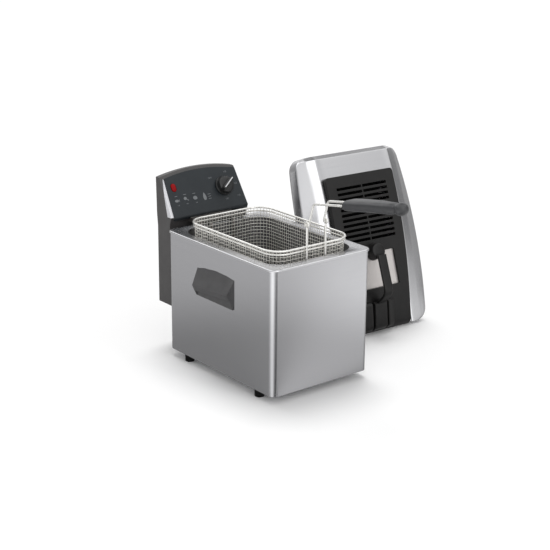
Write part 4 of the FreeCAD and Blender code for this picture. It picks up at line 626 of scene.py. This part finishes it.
knobShape = {"x": 45, "y": 41, "angle": 36, "flutes": 60, "fluteDepth": 0.28, "fluted": (4.0, 11.0), "smooth": 40,
             "profile": [(17.4, 0.65), (18, 1.1), (18, 2.6), (17.4, 3.3), (16.6, 3.8), (16.2, 4.6), (15.7, 10.6),
                         (14.9, 11.9), (13.4, 12.5), (9, 12.8)],  # radius and height
             "ridgeReach": 15.6, "ridgeHalf": 4.2, "ridgeTaper": 0.8, "ridgePower": 3.4, "ridgeSides": 40,
             "ridge": [(10.5, -0.8), (13, 0), (16.4, 0.5), (17.5, 0.9), (17.98, 1.7)]}  # height and inset


def makeKnob():
    knob = SimpleNamespace(**knobShape)
    count = knob.flutes * 2
    rings = []
    for radius, height in knob.profile:
        depth = knob.fluteDepth if knob.fluted[0] < height < knob.fluted[1] else 0
        reaches = [radius - (depth if step % 2 else 0) for step in range(count)]
        rings.append([(reach * math.cos(2 * math.pi * step / count), reach * math.sin(2 * math.pi * step / count),
                       height) for step, reach in enumerate(reaches)])
    work = sweepRings(rings)
    ridgeRings = []
    for height, inset in knob.ridge:
        oval = ovalRing(knob.ridgeReach - inset, knob.ridgeHalf - inset * knob.ridgeTaper,
                        knob.ridgePower, knob.ridgeSides)
        ridgeRings.append([(across, along, height) for across, along in oval])
    ridge = sweepRings(ridgeRings)
    bmesh.ops.rotate(ridge, verts=ridge.verts, cent=(0, 0, 0),
                     matrix=Matrix.Rotation(math.radians(knob.angle), 3, "Z"))
    addTo(work, meshFrom(ridge, "ridge"))
    seat("thermostatKnob", work, "knob", "knob_plastic", ("thermostat_knob",), knob.smooth, place=onPanel(knob))


lampShape = {"x": -61, "y": 54, "halfWidth": 4.8, "halfHeight": 7.4, "power": 2.6, "sides": 40, "smooth": 50,
             "profile": [(1, -2.4), (1, 0.5), (0.97, 0.75), (0.9, 1.0), (0.75, 1.25), (0.5, 1.42), (0.22, 1.49),
                         (0.05, 1.5)]}  # share of the size, and height


def makeLamp():
    lamp = SimpleNamespace(**lampShape)
    rings = []
    for share, height in lamp.profile:
        oval = ovalRing(lamp.halfWidth * share, lamp.halfHeight * share, lamp.power, lamp.sides)
        rings.append([(across, along, height) for across, along in oval])
    seat("lampLens", sweepRings(rings), "control_unit", "lamp_red", ("indicator_lens",), lamp.smooth,
         place=onPanel(lamp))


panelPrint = {"base": 0.005, "depth": 0.06, "smooth": 30, "numberHeight": 4.6, "smallHeight": 3.2, "smallDrop": 9.2,
              "dial": [("OFF", 21, 60.0), ("130", 57, 67.0), ("150", 72.2, 42), ("170", 71.5, 18.5),
                       ("190", 44, 16.2)],
              "pictures": [("fish", -62, 29, "170"), ("leg", -43, 30, "180"), ("ball", -23, 29, "190")],
              "barHalf": 3, "barLift": 8.0, "barHeight": 0.9,
              "drop": (-2.3, 28.6), "dropSize": (4.6, 7.2), "dropTaper": 0.336, "dropSides": 36,
              "levels": (22.4, 26.6, 30.8), "levelSpan": (5.2, 11.2)}


def ovalOutline(x, y, halfWidth, halfHeight, power=2.0, count=28):
    return [(x + across, y + along) for across, along in ovalRing(halfWidth, halfHeight, power, count)]


def pictureOutlines(kind, x, y):
    if kind == "fish":
        tail = [(x + 2.4, y), (x + 5.2, y + 2.6), (x + 4.4, y), (x + 5.2, y - 2.6)]
        return [ovalOutline(x - 0.9, y, 4.0, 2.5), tail]
    if kind == "leg":
        bone = [(x + 0.6, y - 0.4), (x + 1.5, y + 0.5), (x + 4.6, y - 2.5), (x + 3.7, y - 3.4)]
        return [ovalOutline(x - 1.2, y + 1.0, 3.3, 2.8), bone, ovalOutline(x + 4.6, y - 2.9, 0.9, 0.9)]
    return [ovalOutline(x, y, 4.4, 3.5, 2.3)]


def panelWriting(text, size):
    curve = bpy.data.curves.new("dialMark", "FONT")
    curve.body = text
    curve.size = size * mm
    curve.align_x = "CENTER"
    curve.align_y = "CENTER"
    curve.resolution_u = 3
    curve.extrude = panelPrint["depth"] / 2 * mm
    writing = addObject("dialMark", curve)
    mesh = evaluatedMesh(writing)
    bpy.data.objects.remove(writing)
    bpy.data.curves.remove(curve)
    return mesh


def makePanelPrint():
    marks = SimpleNamespace(**panelPrint)
    work = bmesh.new()

    def addWriting(text, x, y, size):
        mesh = panelWriting(text, size)
        mesh.transform(Matrix.Translation((x * mm, y * mm, marks.depth / 2 * mm)))
        addTo(work, mesh)

    def addPatch(outline):
        rings = [[(x * mm, y * mm, level * mm) for x, y in outline] for level in (marks.base, marks.depth)]
        addTo(work, meshFrom(sweepRings(rings), "patch"))

    def addBar(left, right, level):
        top = level + marks.barHeight
        addPatch([(left, level), (right, level), (right, top), (left, top)])

    for text, x, y in marks.dial:
        addWriting(text, x, y, marks.numberHeight)
    for kind, x, y, text in marks.pictures:
        for outline in pictureOutlines(kind, x, y):
            addPatch(outline)
        addWriting(text, x, y - marks.smallDrop, marks.smallHeight)
        addBar(x - marks.barHalf, x + marks.barHalf, y + marks.barLift)
    drop = []  # oil drop beside the level lines
    for step in range(marks.dropSides):
        turn = 2 * math.pi * step / marks.dropSides
        taper = 1 - marks.dropTaper * (1 + math.cos(turn))
        drop.append((marks.drop[0] + marks.dropSize[0] * math.sin(turn) * taper,
                     marks.drop[1] + marks.dropSize[1] * math.cos(turn)))
    addPatch(drop)
    for level in marks.levels:
        addBar(*marks.levelSpan, level)
    seat("panelPrint", work, "control_unit", "pointer_white", (), marks.smooth, finishes["panel_print"], panelPlace)


sideTrim = {"panelHalf": (80.05, 76.1), "caseHalf": (85.6, 82.2), "top": 72, "sink": 0.3, "proud": 0.4, "round": 2.4,
            "footReach": 11, "tipWidth": 1.0, "depth": 2.4, "rows": 15, "columns": 16, "smooth": 40}


def makeSideTrim():
    trim = SimpleNamespace(**sideTrim)
    bend = trim.round * math.pi / 2
    rings = []
    for row in range(trim.rows):
        share = row / (trim.rows - 1)
        inner = blend(*trim.panelHalf, share)
        outer = blend(*trim.caseHalf, share) + trim.proud
        ledge = outer - inner - trim.round
        width = blend(ledge + bend + trim.footReach - trim.round, trim.tipWidth, share)
        start = panelPlace @ Vector((0, trim.top * share * mm, -trim.sink * mm)) / mm
        face, back = [], []
        for column in range(trim.columns):
            run = width * column / (trim.columns - 1)
            if run <= ledge:
                across, deep, lean = inner + run, 0, 0
            elif run <= ledge + bend:
                lean = (run - ledge) / trim.round
                across = inner + ledge + trim.round * math.sin(lean)
                deep = trim.round * (1 - math.cos(lean))
            else:
                across, deep, lean = outer, trim.round + run - ledge - bend, math.pi / 2
            face.append(Vector((-across, start.y + deep, start.z)) * mm)
            back.append(Vector((trim.proud * 2 * math.sin(lean) - across,
                                start.y + deep + trim.depth * math.cos(lean), start.z)) * mm)
        rings.append(face + list(reversed(back)))
    seat("sideTrimLeft", sweepRings(rings), "control_unit", "trim_silver", ("side_trim_left",), trim.smooth)


makePanel()
makeKnob()
makeLamp()
makePanelPrint()
makeSideTrim()
print("control panel dressed")


# lid: steel skin, cover strip, view pane, handle bar and latch tongue

def lidPoint(across, out, up):
    return (Vector((lidStand["x"], lidStand["y"], 0)) + lidAcross * across + lidOut * out + lidUp * up) * mm


def throughThree(values, share):
    front, middle, rear = values
    return front * (1 - share) * (1 - 2 * share) + middle * 4 * share * (1 - share) + rear * share * (2 * share - 1)


def cornerCut(radius, fromEnd):  # how far a rounded corner stands back
    return radius - math.sqrt(radius ** 2 - (radius - fromEnd) ** 2) if fromEnd < radius else 0


lidSkin = {"length": 342, "half": (120.2, 130.85, 118.3), "skirt": (14, 22.5, 21.5), "rise": (5.9, 38.8, 38.0),
           "corner": 22, "cornerSteps": 8, "bevel": 7.4, "bevelDrop": 10, "skirtDrop": 8, "bevelSoft": 0.08,
           "skirtRound": (3.4, 3.4), "skirtSteps": 6, "crease": 95.5, "creaseRound": (10.5, 8),
           "creaseSoft": (2.4, 2.4), "creaseSteps": 4, "creaseOver": 1, "creaseLift": 4, "foldLimit": 0.45, "wall": 1.2,
           "notchHalf": 81.5, "notchEnd": 62, "notchFloor": 4, "brimFade": 32, "windowHalf": 70, "windowEnd": 288,
           "midColumn": 35, "endCuts": (1, 2.5, 5, 6.6, 7, 7.4, 7.8, 8.2, 11),
           "firstCut": 32, "cutPitch": 9.5, "cutCount": 31, "joinGap": 0.02, "smooth": 20}


def addGrid(work, heights, rowAt, isOpen):  # points up the lid, with faces where it isn't open
    rows = []
    for up in heights:
        rows.append((up, [(across, out, work.verts.new(lidPoint(across, out, up))) for across, out in rowAt(up)]))
    for (lowUp, lower), (highUp, upper) in zip(rows, rows[1:]):
        for step in range(len(lower) - 1):
            if not isOpen(abs(lower[step][0] + lower[step + 1][0]) / 2, (lowUp + highUp) / 2):
                work.faces.new((lower[step][2], lower[step + 1][2], upper[step + 1][2], upper[step][2]))
    return rows


def lidRise(up):
    return throughThree(lidSkin["rise"], up / lidSkin["length"])


def bentCorner(before, corner, after, lengths, steps):
    limit = lidSkin["foldLimit"]
    start = corner + (before - corner).normalized() * min(lengths[0], (before - corner).length * limit)
    end = corner + (after - corner).normalized() * min(lengths[1], (after - corner).length * limit)
    shares = [step / steps for step in range(steps + 1)]
    return [start * (1 - share) ** 2 + corner * 2 * share * (1 - share) + end * share ** 2 for share in shares]


def lidSection(up):
    skin = SimpleNamespace(**lidSkin)
    share = up / skin.length
    half = throughThree(skin.half, share) - cornerCut(skin.corner, min(up, skin.length - up))
    skirt = throughThree(skin.skirt, share)
    rise = lidRise(up)
    drop = 1 - (skin.length - up) / skin.bevel
    soft = skin.bevelSoft
    if drop > -soft:
        drop = min(1, drop if drop > soft else (drop + soft) ** 2 / (4 * soft))
        rise -= skin.bevelDrop * drop
        skirt -= skin.skirtDrop * drop
    foot, edge = Vector((-half, 0)), Vector((-half, skirt))
    over = skirt + skin.creaseOver
    bent = 0.5 * (rise + over + math.hypot(rise - over, skin.creaseLift))  # never under the skirt
    crease, middle = Vector((-skin.crease, bent)), Vector((0, rise))
    outward = edge - crease
    outerFold = crease + outward * min(skin.foldLimit, skin.creaseRound[0] / outward.length)
    innerFold = Vector((-skin.crease + skin.creaseRound[1], bent))
    left = [foot, Vector((-half, skin.notchFloor))] + bentCorner(foot, edge, crease, skin.skirtRound, skin.skirtSteps)
    left += [edge.lerp(outerFold, 0.5)] + bentCorner(edge, outerFold, innerFold, skin.creaseSoft, skin.creaseSteps)
    left += bentCorner(outerFold, innerFold, middle, skin.creaseSoft, skin.creaseSteps)
    brim = blend(rise, bent, clamped((skin.notchEnd - up) / skin.brimFade))  # beside the strip
    left += [Vector((-skin.notchHalf, brim)), Vector((-skin.windowHalf, rise)),
             Vector((-skin.midColumn, rise))]
    return left + [middle] + [Vector((-point.x, point.y)) for point in reversed(left)]


def makeLidSkin():
    skin = SimpleNamespace(**lidSkin)
    turns = [math.radians(90 * step / skin.cornerSteps) for step in range(skin.cornerSteps + 1)]
    curl = [skin.corner * (1 - math.cos(turn)) for turn in turns]
    heights = curl + [skin.length - cut for cut in (*curl, *skin.endCuts)] + [skin.notchEnd, skin.windowEnd]
    heights += [skin.firstCut + skin.cutPitch * step for step in range(skin.cutCount)]

    def isOpen(across, up):
        return across < (skin.notchHalf if up < skin.notchEnd else skin.windowHalf if up < skin.windowEnd else 0)

    work = bmesh.new()
    rows = addGrid(work, sorted(set(round(height, 3) for height in heights)), lidSection, isOpen)
    for up, row in (rows[0], rows[-1]):  # end walls down to the rim
        columns = row[2:-2]  # the side walls stand already
        feet = [work.verts.new(lidPoint(across, 0, up)) for across, _, _ in columns]
        knees = [work.verts.new(lidPoint(across, min(skin.notchFloor, out), up)) for across, out, _ in columns]
        for step in range(len(columns) - 1):
            work.faces.new((feet[step], feet[step + 1], knees[step + 1], knees[step]))
            if up > 0 or abs(columns[step][0] + columns[step + 1][0]) / 2 >= skin.notchHalf:
                work.faces.new((knees[step], knees[step + 1], columns[step + 1][2], columns[step][2]))
    bmesh.ops.remove_doubles(work, verts=work.verts, dist=skin.joinGap * mm)
    cleanShell(work, lidOut)
    wallOf(seat("lidSkin", work, "lid", "lid_steel", ("lid_shell",), skin.smooth), skin.wall, even=False)


coverStrip = {"half": 80.2, "start": -1.9, "end": 297, "lift": 8.0, "thickness": 7.8, "frontLift": 1.0,
              "frontFrom": 70, "curl": 7, "curlFrom": 9, "corner": 6,
              "smooth": 40, "soft": 0.9, "softSegments": 2, "softAngle": 40,
              "slotHalf": 59, "slotRib": 1.5, "slotStart": 170, "slotWidth": 5, "slotPitch": 10, "slotCount": 11,
              "viewHalf": 53.6, "viewTaper": (56.6, 50.0), "viewStart": 79, "viewEnd": 146,
              "columns": (14, 32, 70), "endCuts": (0, 1, 2.5, 6),
              "cuts": (-0.5, 1, 3, 5, 7, 9, 16, 24, 32, 40, 48, 56, 64, 72, 87, 95, 103, 111, 119, 127, 137, 154, 162,
                       283, 287)}


def stripLevel(up):
    strip = SimpleNamespace(**coverStrip)
    level = lidRise(up) + strip.lift + strip.frontLift * eased(max(0.0, 1 - up / strip.frontFrom))
    tip = max(0.0, (strip.curlFrom - up) / (strip.curlFrom - strip.start))
    return level - strip.curl * tip * tip


def viewHalfAt(up):  # the window narrows towards the grille
    strip = SimpleNamespace(**coverStrip)
    share = clamped((up - strip.viewStart) / (strip.viewEnd - strip.viewStart))
    return strip.viewTaper[0] * (1 - share) + strip.viewTaper[1] * share


def makeCoverStrip():
    strip = SimpleNamespace(**coverStrip)
    slots = [strip.slotStart + strip.slotPitch * step for step in range(strip.slotCount)]
    heights = {strip.start, strip.viewStart, strip.viewEnd, *strip.cuts, *slots}
    heights |= {strip.end - cut for cut in strip.endCuts} | {low + strip.slotWidth for low in slots}
    halves = sorted([0, strip.slotRib, strip.viewHalf, strip.slotHalf, strip.half, *strip.columns])
    acrosses = [-half for half in reversed(halves)] + halves[1:]

    def rowAt(up):
        half, level = strip.half - cornerCut(strip.corner, strip.end - up), stripLevel(up)
        taper = viewHalfAt(up) / strip.viewHalf
        row = [across * taper if abs(across) == strip.viewHalf else across for across in acrosses]
        return [(max(-half, min(half, across)), level) for across in row]

    def isOpen(across, up):
        inSlot = any(low < up < low + strip.slotWidth for low in slots) and strip.slotRib < across < strip.slotHalf
        return inSlot or (strip.viewStart < up < strip.viewEnd and across < strip.viewHalf)

    work = bmesh.new()
    addGrid(work, sorted(heights), rowAt, isOpen)
    cleanShell(work, lidOut)
    piece = seat("coverStrip", work, "lid_cover", "cover_plastic", ("filter_cover",), strip.smooth)
    wallOf(piece, strip.thickness, even=True)
    softenEdges(piece, strip.soft, strip.softSegments, strip.softAngle)


viewPane = {"lift": 4.5, "soft": 0.4}


def makeViewPane():
    piece = roundedCopy("view_pane", "viewPane", "lid_cover", viewPane["soft"])
    piece.data.transform(Matrix.Translation(lidOut * viewPane["lift"] * mm))
    for vert in piece.data.vertices:
        place = vert.co - lidPoint(0, 0, 0)
        taper = viewHalfAt(place.dot(lidUp) / mm) / coverStrip["viewHalf"]
        vert.co += lidAcross * place.dot(lidAcross) * (taper - 1)


handleBar = {"centre": [(50, 30), (53, 40), (57, 50), (62, 59), (69, 65.3), (78, 67.2), (90, 67.3), (110, 67.3),
                        (128, 67.3), (139, 67.2)],
             "half": 9.6, "thickness": 5.6, "power": 5.0, "sides": 28, "parts": 5, "smooth": 45,
             "postAt": 147, "postSides": 40,  # post: radius and height above the strip
             "post": [(16.4, -1), (15.8, 2), (15, 8), (14.7, 16.4), (14.2, 17.8), (13.2, 18.4), (6, 18.6)]}


def makeHandleBar():
    bar = SimpleNamespace(**handleBar)
    path = [Vector(point) for point in bar.centre]
    smooth = []
    for step in range(len(path) - 1):  # a rounded run through the path points
        before, start = path[max(0, step - 1)], path[step]
        end, after = path[step + 1], path[min(len(path) - 1, step + 2)]
        for part in range(bar.parts):
            share = part / bar.parts
            smooth.append(0.5 * (2 * start + (end - before) * share
                                 + (2 * before - 5 * start + 4 * end - after) * share ** 2
                                 + (3 * start - before - 3 * end + after) * share ** 3))
    smooth.append(path[-1])
    rings = []
    for step, point in enumerate(smooth):
        run = (smooth[min(step + 1, len(smooth) - 1)] - smooth[max(step - 1, 0)]).normalized()
        side = Vector((-run.y, run.x))
        ring = []
        for across, deep in ovalRing(bar.half, bar.thickness / 2, bar.power, bar.sides):
            place = point + side * deep
            ring.append(lidPoint(across, place.y, place.x))
        rings.append(ring)
    work = sweepRings(rings)
    base = stripLevel(bar.postAt)
    post = sweepRings([[lidPoint(across, base + height, bar.postAt + along) for across, along in
                        ovalRing(radius, radius, 2, bar.postSides)] for radius, height in bar.post])
    addTo(work, meshFrom(post, "post"))
    seat("lidHandleBar", work, "lid_cover", "cover_plastic", ("lid_handle",), bar.smooth)


latchTongue = {"start": 1.5, "end": 54, "steps": 16, "endRun": 0.08, "endDrop": 0.45, "sink": 1.0,
               "half": 14.6, "low": 9.5, "high": 11.5, "power": 8, "sides": 28, "groove": 4.2,
               "smooth": 40, "guardLow": 8.0, "guardHigh": 9.0,  # guard: way out from the groove, share of height
               "guard": [(0, 0), (0, 0.9), (0.6, 1), (2.6, 1), (4.6, 0.93), (18.6, 0.16), (22.6, 0)]}


def makeLatchTongue():
    tongue = SimpleNamespace(**latchTongue)
    work = bmesh.new()

    def addRun(section, low, high):
        rings = []
        for step in range(tongue.steps + 1):
            share = step / tongue.steps
            up = blend(tongue.start, tongue.end, share)
            ease = 1 - (1 - min(1, min(share, 1 - share) / tongue.endRun)) ** 2 * tongue.endDrop
            top = blend(low, high, share) * ease
            level = stripLevel(up)
            rings.append([lidPoint(across, level - tongue.sink + deep * (top + tongue.sink), up)
                          for across, deep in section])
        addTo(work, meshFrom(sweepRings(rings), "run"))

    oval = ovalRing(tongue.half, 1, tongue.power, tongue.sides)
    addRun([(across, (deep + 1) / 2) for across, deep in oval], tongue.low, tongue.high)
    near = tongue.half + tongue.groove
    for side in (-1, 1):  # sloped guards beside the tongue, with a groove between
        addRun([(side * (near + out), deep) for out, deep in tongue.guard], tongue.guardLow, tongue.guardHigh)
    seat("latchTongue", work, "lid_cover", "cover_plastic", ("latch_tab",), tongue.smooth)


makeLidSkin()
makeCoverStrip()
makeViewPane()
makeHandleBar()
makeLatchTongue()
print("lid made")


# stage: camera, floor and soft studio light

viewPoint = {"focal": 90.996, "sensor": 36, "farthest": 60, "pitch": 0.314837868, "yaw": 0.674241463,
             "roll": 0.00857085947, "place": (-1.42152516, -1.80073030, 0.915398025)}


def placeCamera():
    view = SimpleNamespace(**viewPoint)
    pitch, yaw, roll = view.pitch, view.yaw, view.roll
    forward = Vector((math.sin(yaw) * math.cos(pitch), math.cos(yaw) * math.cos(pitch), -math.sin(pitch)))
    right = Vector((math.cos(yaw), -math.sin(yaw), 0))
    up = right.cross(forward)
    rolledRight = right * math.cos(roll) + up * math.sin(roll)
    rolledUp = up * math.cos(roll) - right * math.sin(roll)
    lens = bpy.data.cameras.new("photoView")
    lens.lens = view.focal
    lens.sensor_width = view.sensor
    lens.clip_end = view.farthest
    turn = Matrix((rolledRight, rolledUp, -forward)).transposed().to_4x4()
    scene.camera = addObject("photoView", lens)
    scene.camera.matrix_world = Matrix.Translation(view.place) @ turn


stage = {"floorSize": 24, "floorTone": 0.98, "ambient": 0.66, "corner": (-0.105, -0.149),
         # brightness by compass angle, in degrees from +X: of the floor, of the low surroundings, of the high ones
         "floorGlow": [(-180, 1.5), (-165, 2.0), (-140, 1.8), (-120, 0.7), (-100, 0.15), (-84, 0.15), (-66, 1.0),
                       (-58, 0.66), (-52, 0.62), (-46, 0.82), (-40, 1.12), (-30, 1.2), (-14, 1.15), (-2, 0.6),
                       (20, 0.5), (60, 0.5), (110, 0.55), (128, 0.62), (150, 0.70), (165, 1.1), (180, 1.5)],
         # painted shade: near the body the floor's mirrored glow drops to this share, and it recovers over these
         # distances from the corner
         "paintedShadeNear": 0.55, "paintedShadeFade": (0.30, 0.70),
         "farGlow": [(-180, 1.2), (-120, 1.0), (-66, 0.9), (-40, 0.8), (-28, 0.64), (-16, 0.57), (0, 0.40), (20, 0.40),
                     (60, 0.5), (128, 0.62), (180, 1.2)], "farFrom": (0.75, 1.15),
         "lowGlow": [(-180, 0.5), (-140, 1.0), (-125, 1.12), (-104, 1.15), (-97, 1.3), (-88, 2.4), (-78, 2.4),
                     (-70, 1.3), (-62, 0.95), (-50, 0.92), (-42, 0.55), (-34, 0.28), (-17, 0.26), (0, 0.40),
                     (15, 0.45), (35, 0.9), (62, 1.0), (90, 0.5), (124, 0.35), (180, 0.5)],
         "highGlow": [(-180, 1.0), (-122, 1.1), (-104, 2.1), (-84, 2.1), (-62, 1.2), (-27, 1.7), (6, 1.6), (22, 0.45),
                      (47, 0.32), (68, 0.45), (84, 2.0), (112, 2.1), (140, 1.2), (180, 1.0)],
         "highFrom": (27, 35)}


def grey(tone):
    return (tone, tone, tone, 1)


def compassRamp(tree, split, table):
    angle = addNode(tree, "ShaderNodeMath", {0: split["Y"], 1: split["X"]}, operation="ARCTAN2").outputs[0]
    ramp = addNode(tree, "ShaderNodeValToRGB", {"Fac": mapped(tree, angle, -math.pi, math.pi)})
    stops = ramp.color_ramp.elements
    while len(stops) > 1:
        stops.remove(stops[-1])
    for step, (degrees, glow) in enumerate(table):
        share = (degrees + 180) / 360
        stop = stops[0] if step == 0 else stops.new(share)
        stop.position = share
        stop.color = grey(glow)
    return ramp.outputs["Color"]


def mirrorRays(tree):  # rays that mirror the surroundings before any matt surface
    path = addNode(tree, "ShaderNodeLightPath").outputs
    return addNode(tree, "ShaderNodeMath", {0: path["Is Glossy Ray"], 1: path["Diffuse Depth"]},
                   operation="SUBTRACT", use_clamp=True).outputs[0]


def makeFloor():
    work = bmesh.new()
    bmesh.ops.create_grid(work, x_segments=4, y_segments=4, size=stage["floorSize"])
    floor = addObject("paleFloor", meshFrom(work, "paleFloor"))
    finish = bpy.data.materials.new("paleFloor")
    finish.use_nodes = True
    tree = finish.node_tree
    tree.nodes.clear()
    place = addNode(tree, "ShaderNodeTexCoord").outputs["Object"]
    fromCorner = addNode(tree, "ShaderNodeVectorMath", {0: place, 1: (*stage["corner"], 0)},
                         operation="SUBTRACT").outputs[0]
    split = addNode(tree, "ShaderNodeSeparateXYZ", {0: fromCorner}).outputs
    away = addNode(tree, "ShaderNodeVectorMath", {0: fromCorner}, operation="LENGTH").outputs["Value"]
    far = mapped(tree, away, *stage["farFrom"], interpolation_type="SMOOTHSTEP")
    # painted shade: the glow that the steel mirrors is dimmed near the body's corner, standing in for the shadow on the
    # floor beside it
    paintedShadeFade = mapped(tree, away, *stage["paintedShadeFade"], stage["paintedShadeNear"], interpolation_type="SMOOTHSTEP")
    glow = mixedTone(tree, far, compassRamp(tree, split, stage["floorGlow"]),
                     compassRamp(tree, split, stage["farGlow"]))
    mirrored = addNode(tree, "ShaderNodeEmission", {"Color": glow, "Strength": paintedShadeFade})  # what the steel sees of it
    matt = addNode(tree, "ShaderNodeBsdfDiffuse", {"Color": grey(stage["floorTone"])})
    mix = addNode(tree, "ShaderNodeMixShader", {0: mirrorRays(tree), 1: matt.outputs[0], 2: mirrored.outputs[0]})
    addNode(tree, "ShaderNodeOutputMaterial", {"Surface": mix.outputs[0]})
    finish.cycles.emission_sampling = "NONE"
    floor.data.materials.append(finish)


def makeSurroundings():
    world = bpy.data.worlds.new("studio")
    world.use_nodes = True
    scene.world = world
    tree = world.node_tree
    direction = addNode(tree, "ShaderNodeTexCoord").outputs["Generated"]
    split = addNode(tree, "ShaderNodeSeparateXYZ", {0: direction}).outputs
    lift = addNode(tree, "ShaderNodeMath", {0: split["Z"]}, operation="ARCSINE").outputs[0]
    start, end = (math.radians(degrees) for degrees in stage["highFrom"])
    glow = mixedTone(tree, mapped(tree, lift, start, end, interpolation_type="SMOOTHSTEP"),
                     compassRamp(tree, split, stage["lowGlow"]), compassRamp(tree, split, stage["highGlow"]))
    feed(tree.nodes["Background"], {
        "Color": mixedTone(tree, mirrorRays(tree), grey(stage["ambient"]), glow), "Strength": 1.0})
    world.cycles.sampling_method = "NONE"


lamps = {
    "overhead": {"place": (0.46, 0.66, 2.25), "aim": (0.1, 0, 0.1), "spread": 30, "power": 1.35},
    "leftStrip": {"place": (-1.9, -1.0, 0.55), "aim": (-0.1, -0.15, 0.14), "size": (0.16, 1.3), "power": 4},
    "frontStrip": {"place": (0.45, -2.4, 1.15), "aim": (0.2, 0, 0.2), "size": (0.22, 1.6), "power": 5},
}


def makeLamps():
    for name, lamp in lamps.items():
        light = bpy.data.lights.new(name, "AREA" if "size" in lamp else "SUN")
        if "size" in lamp:
            light.shape = "RECTANGLE"
            light.size, light.size_y = lamp["size"]
        else:
            light.angle = math.radians(lamp["spread"])
        light.energy = lamp["power"]
        holder = addObject(name, light)
        place = Vector(lamp["place"])
        turn = (Vector(lamp["aim"]) - place).to_track_quat("-Z", "Y").to_matrix().to_4x4()
        holder.matrix_world = Matrix.Translation(place) @ turn
        holder.visible_glossy = False


placeCamera()
makeFloor()
makeSurroundings()
makeLamps()
scene.view_settings.view_transform = "Standard"
print("stage set")
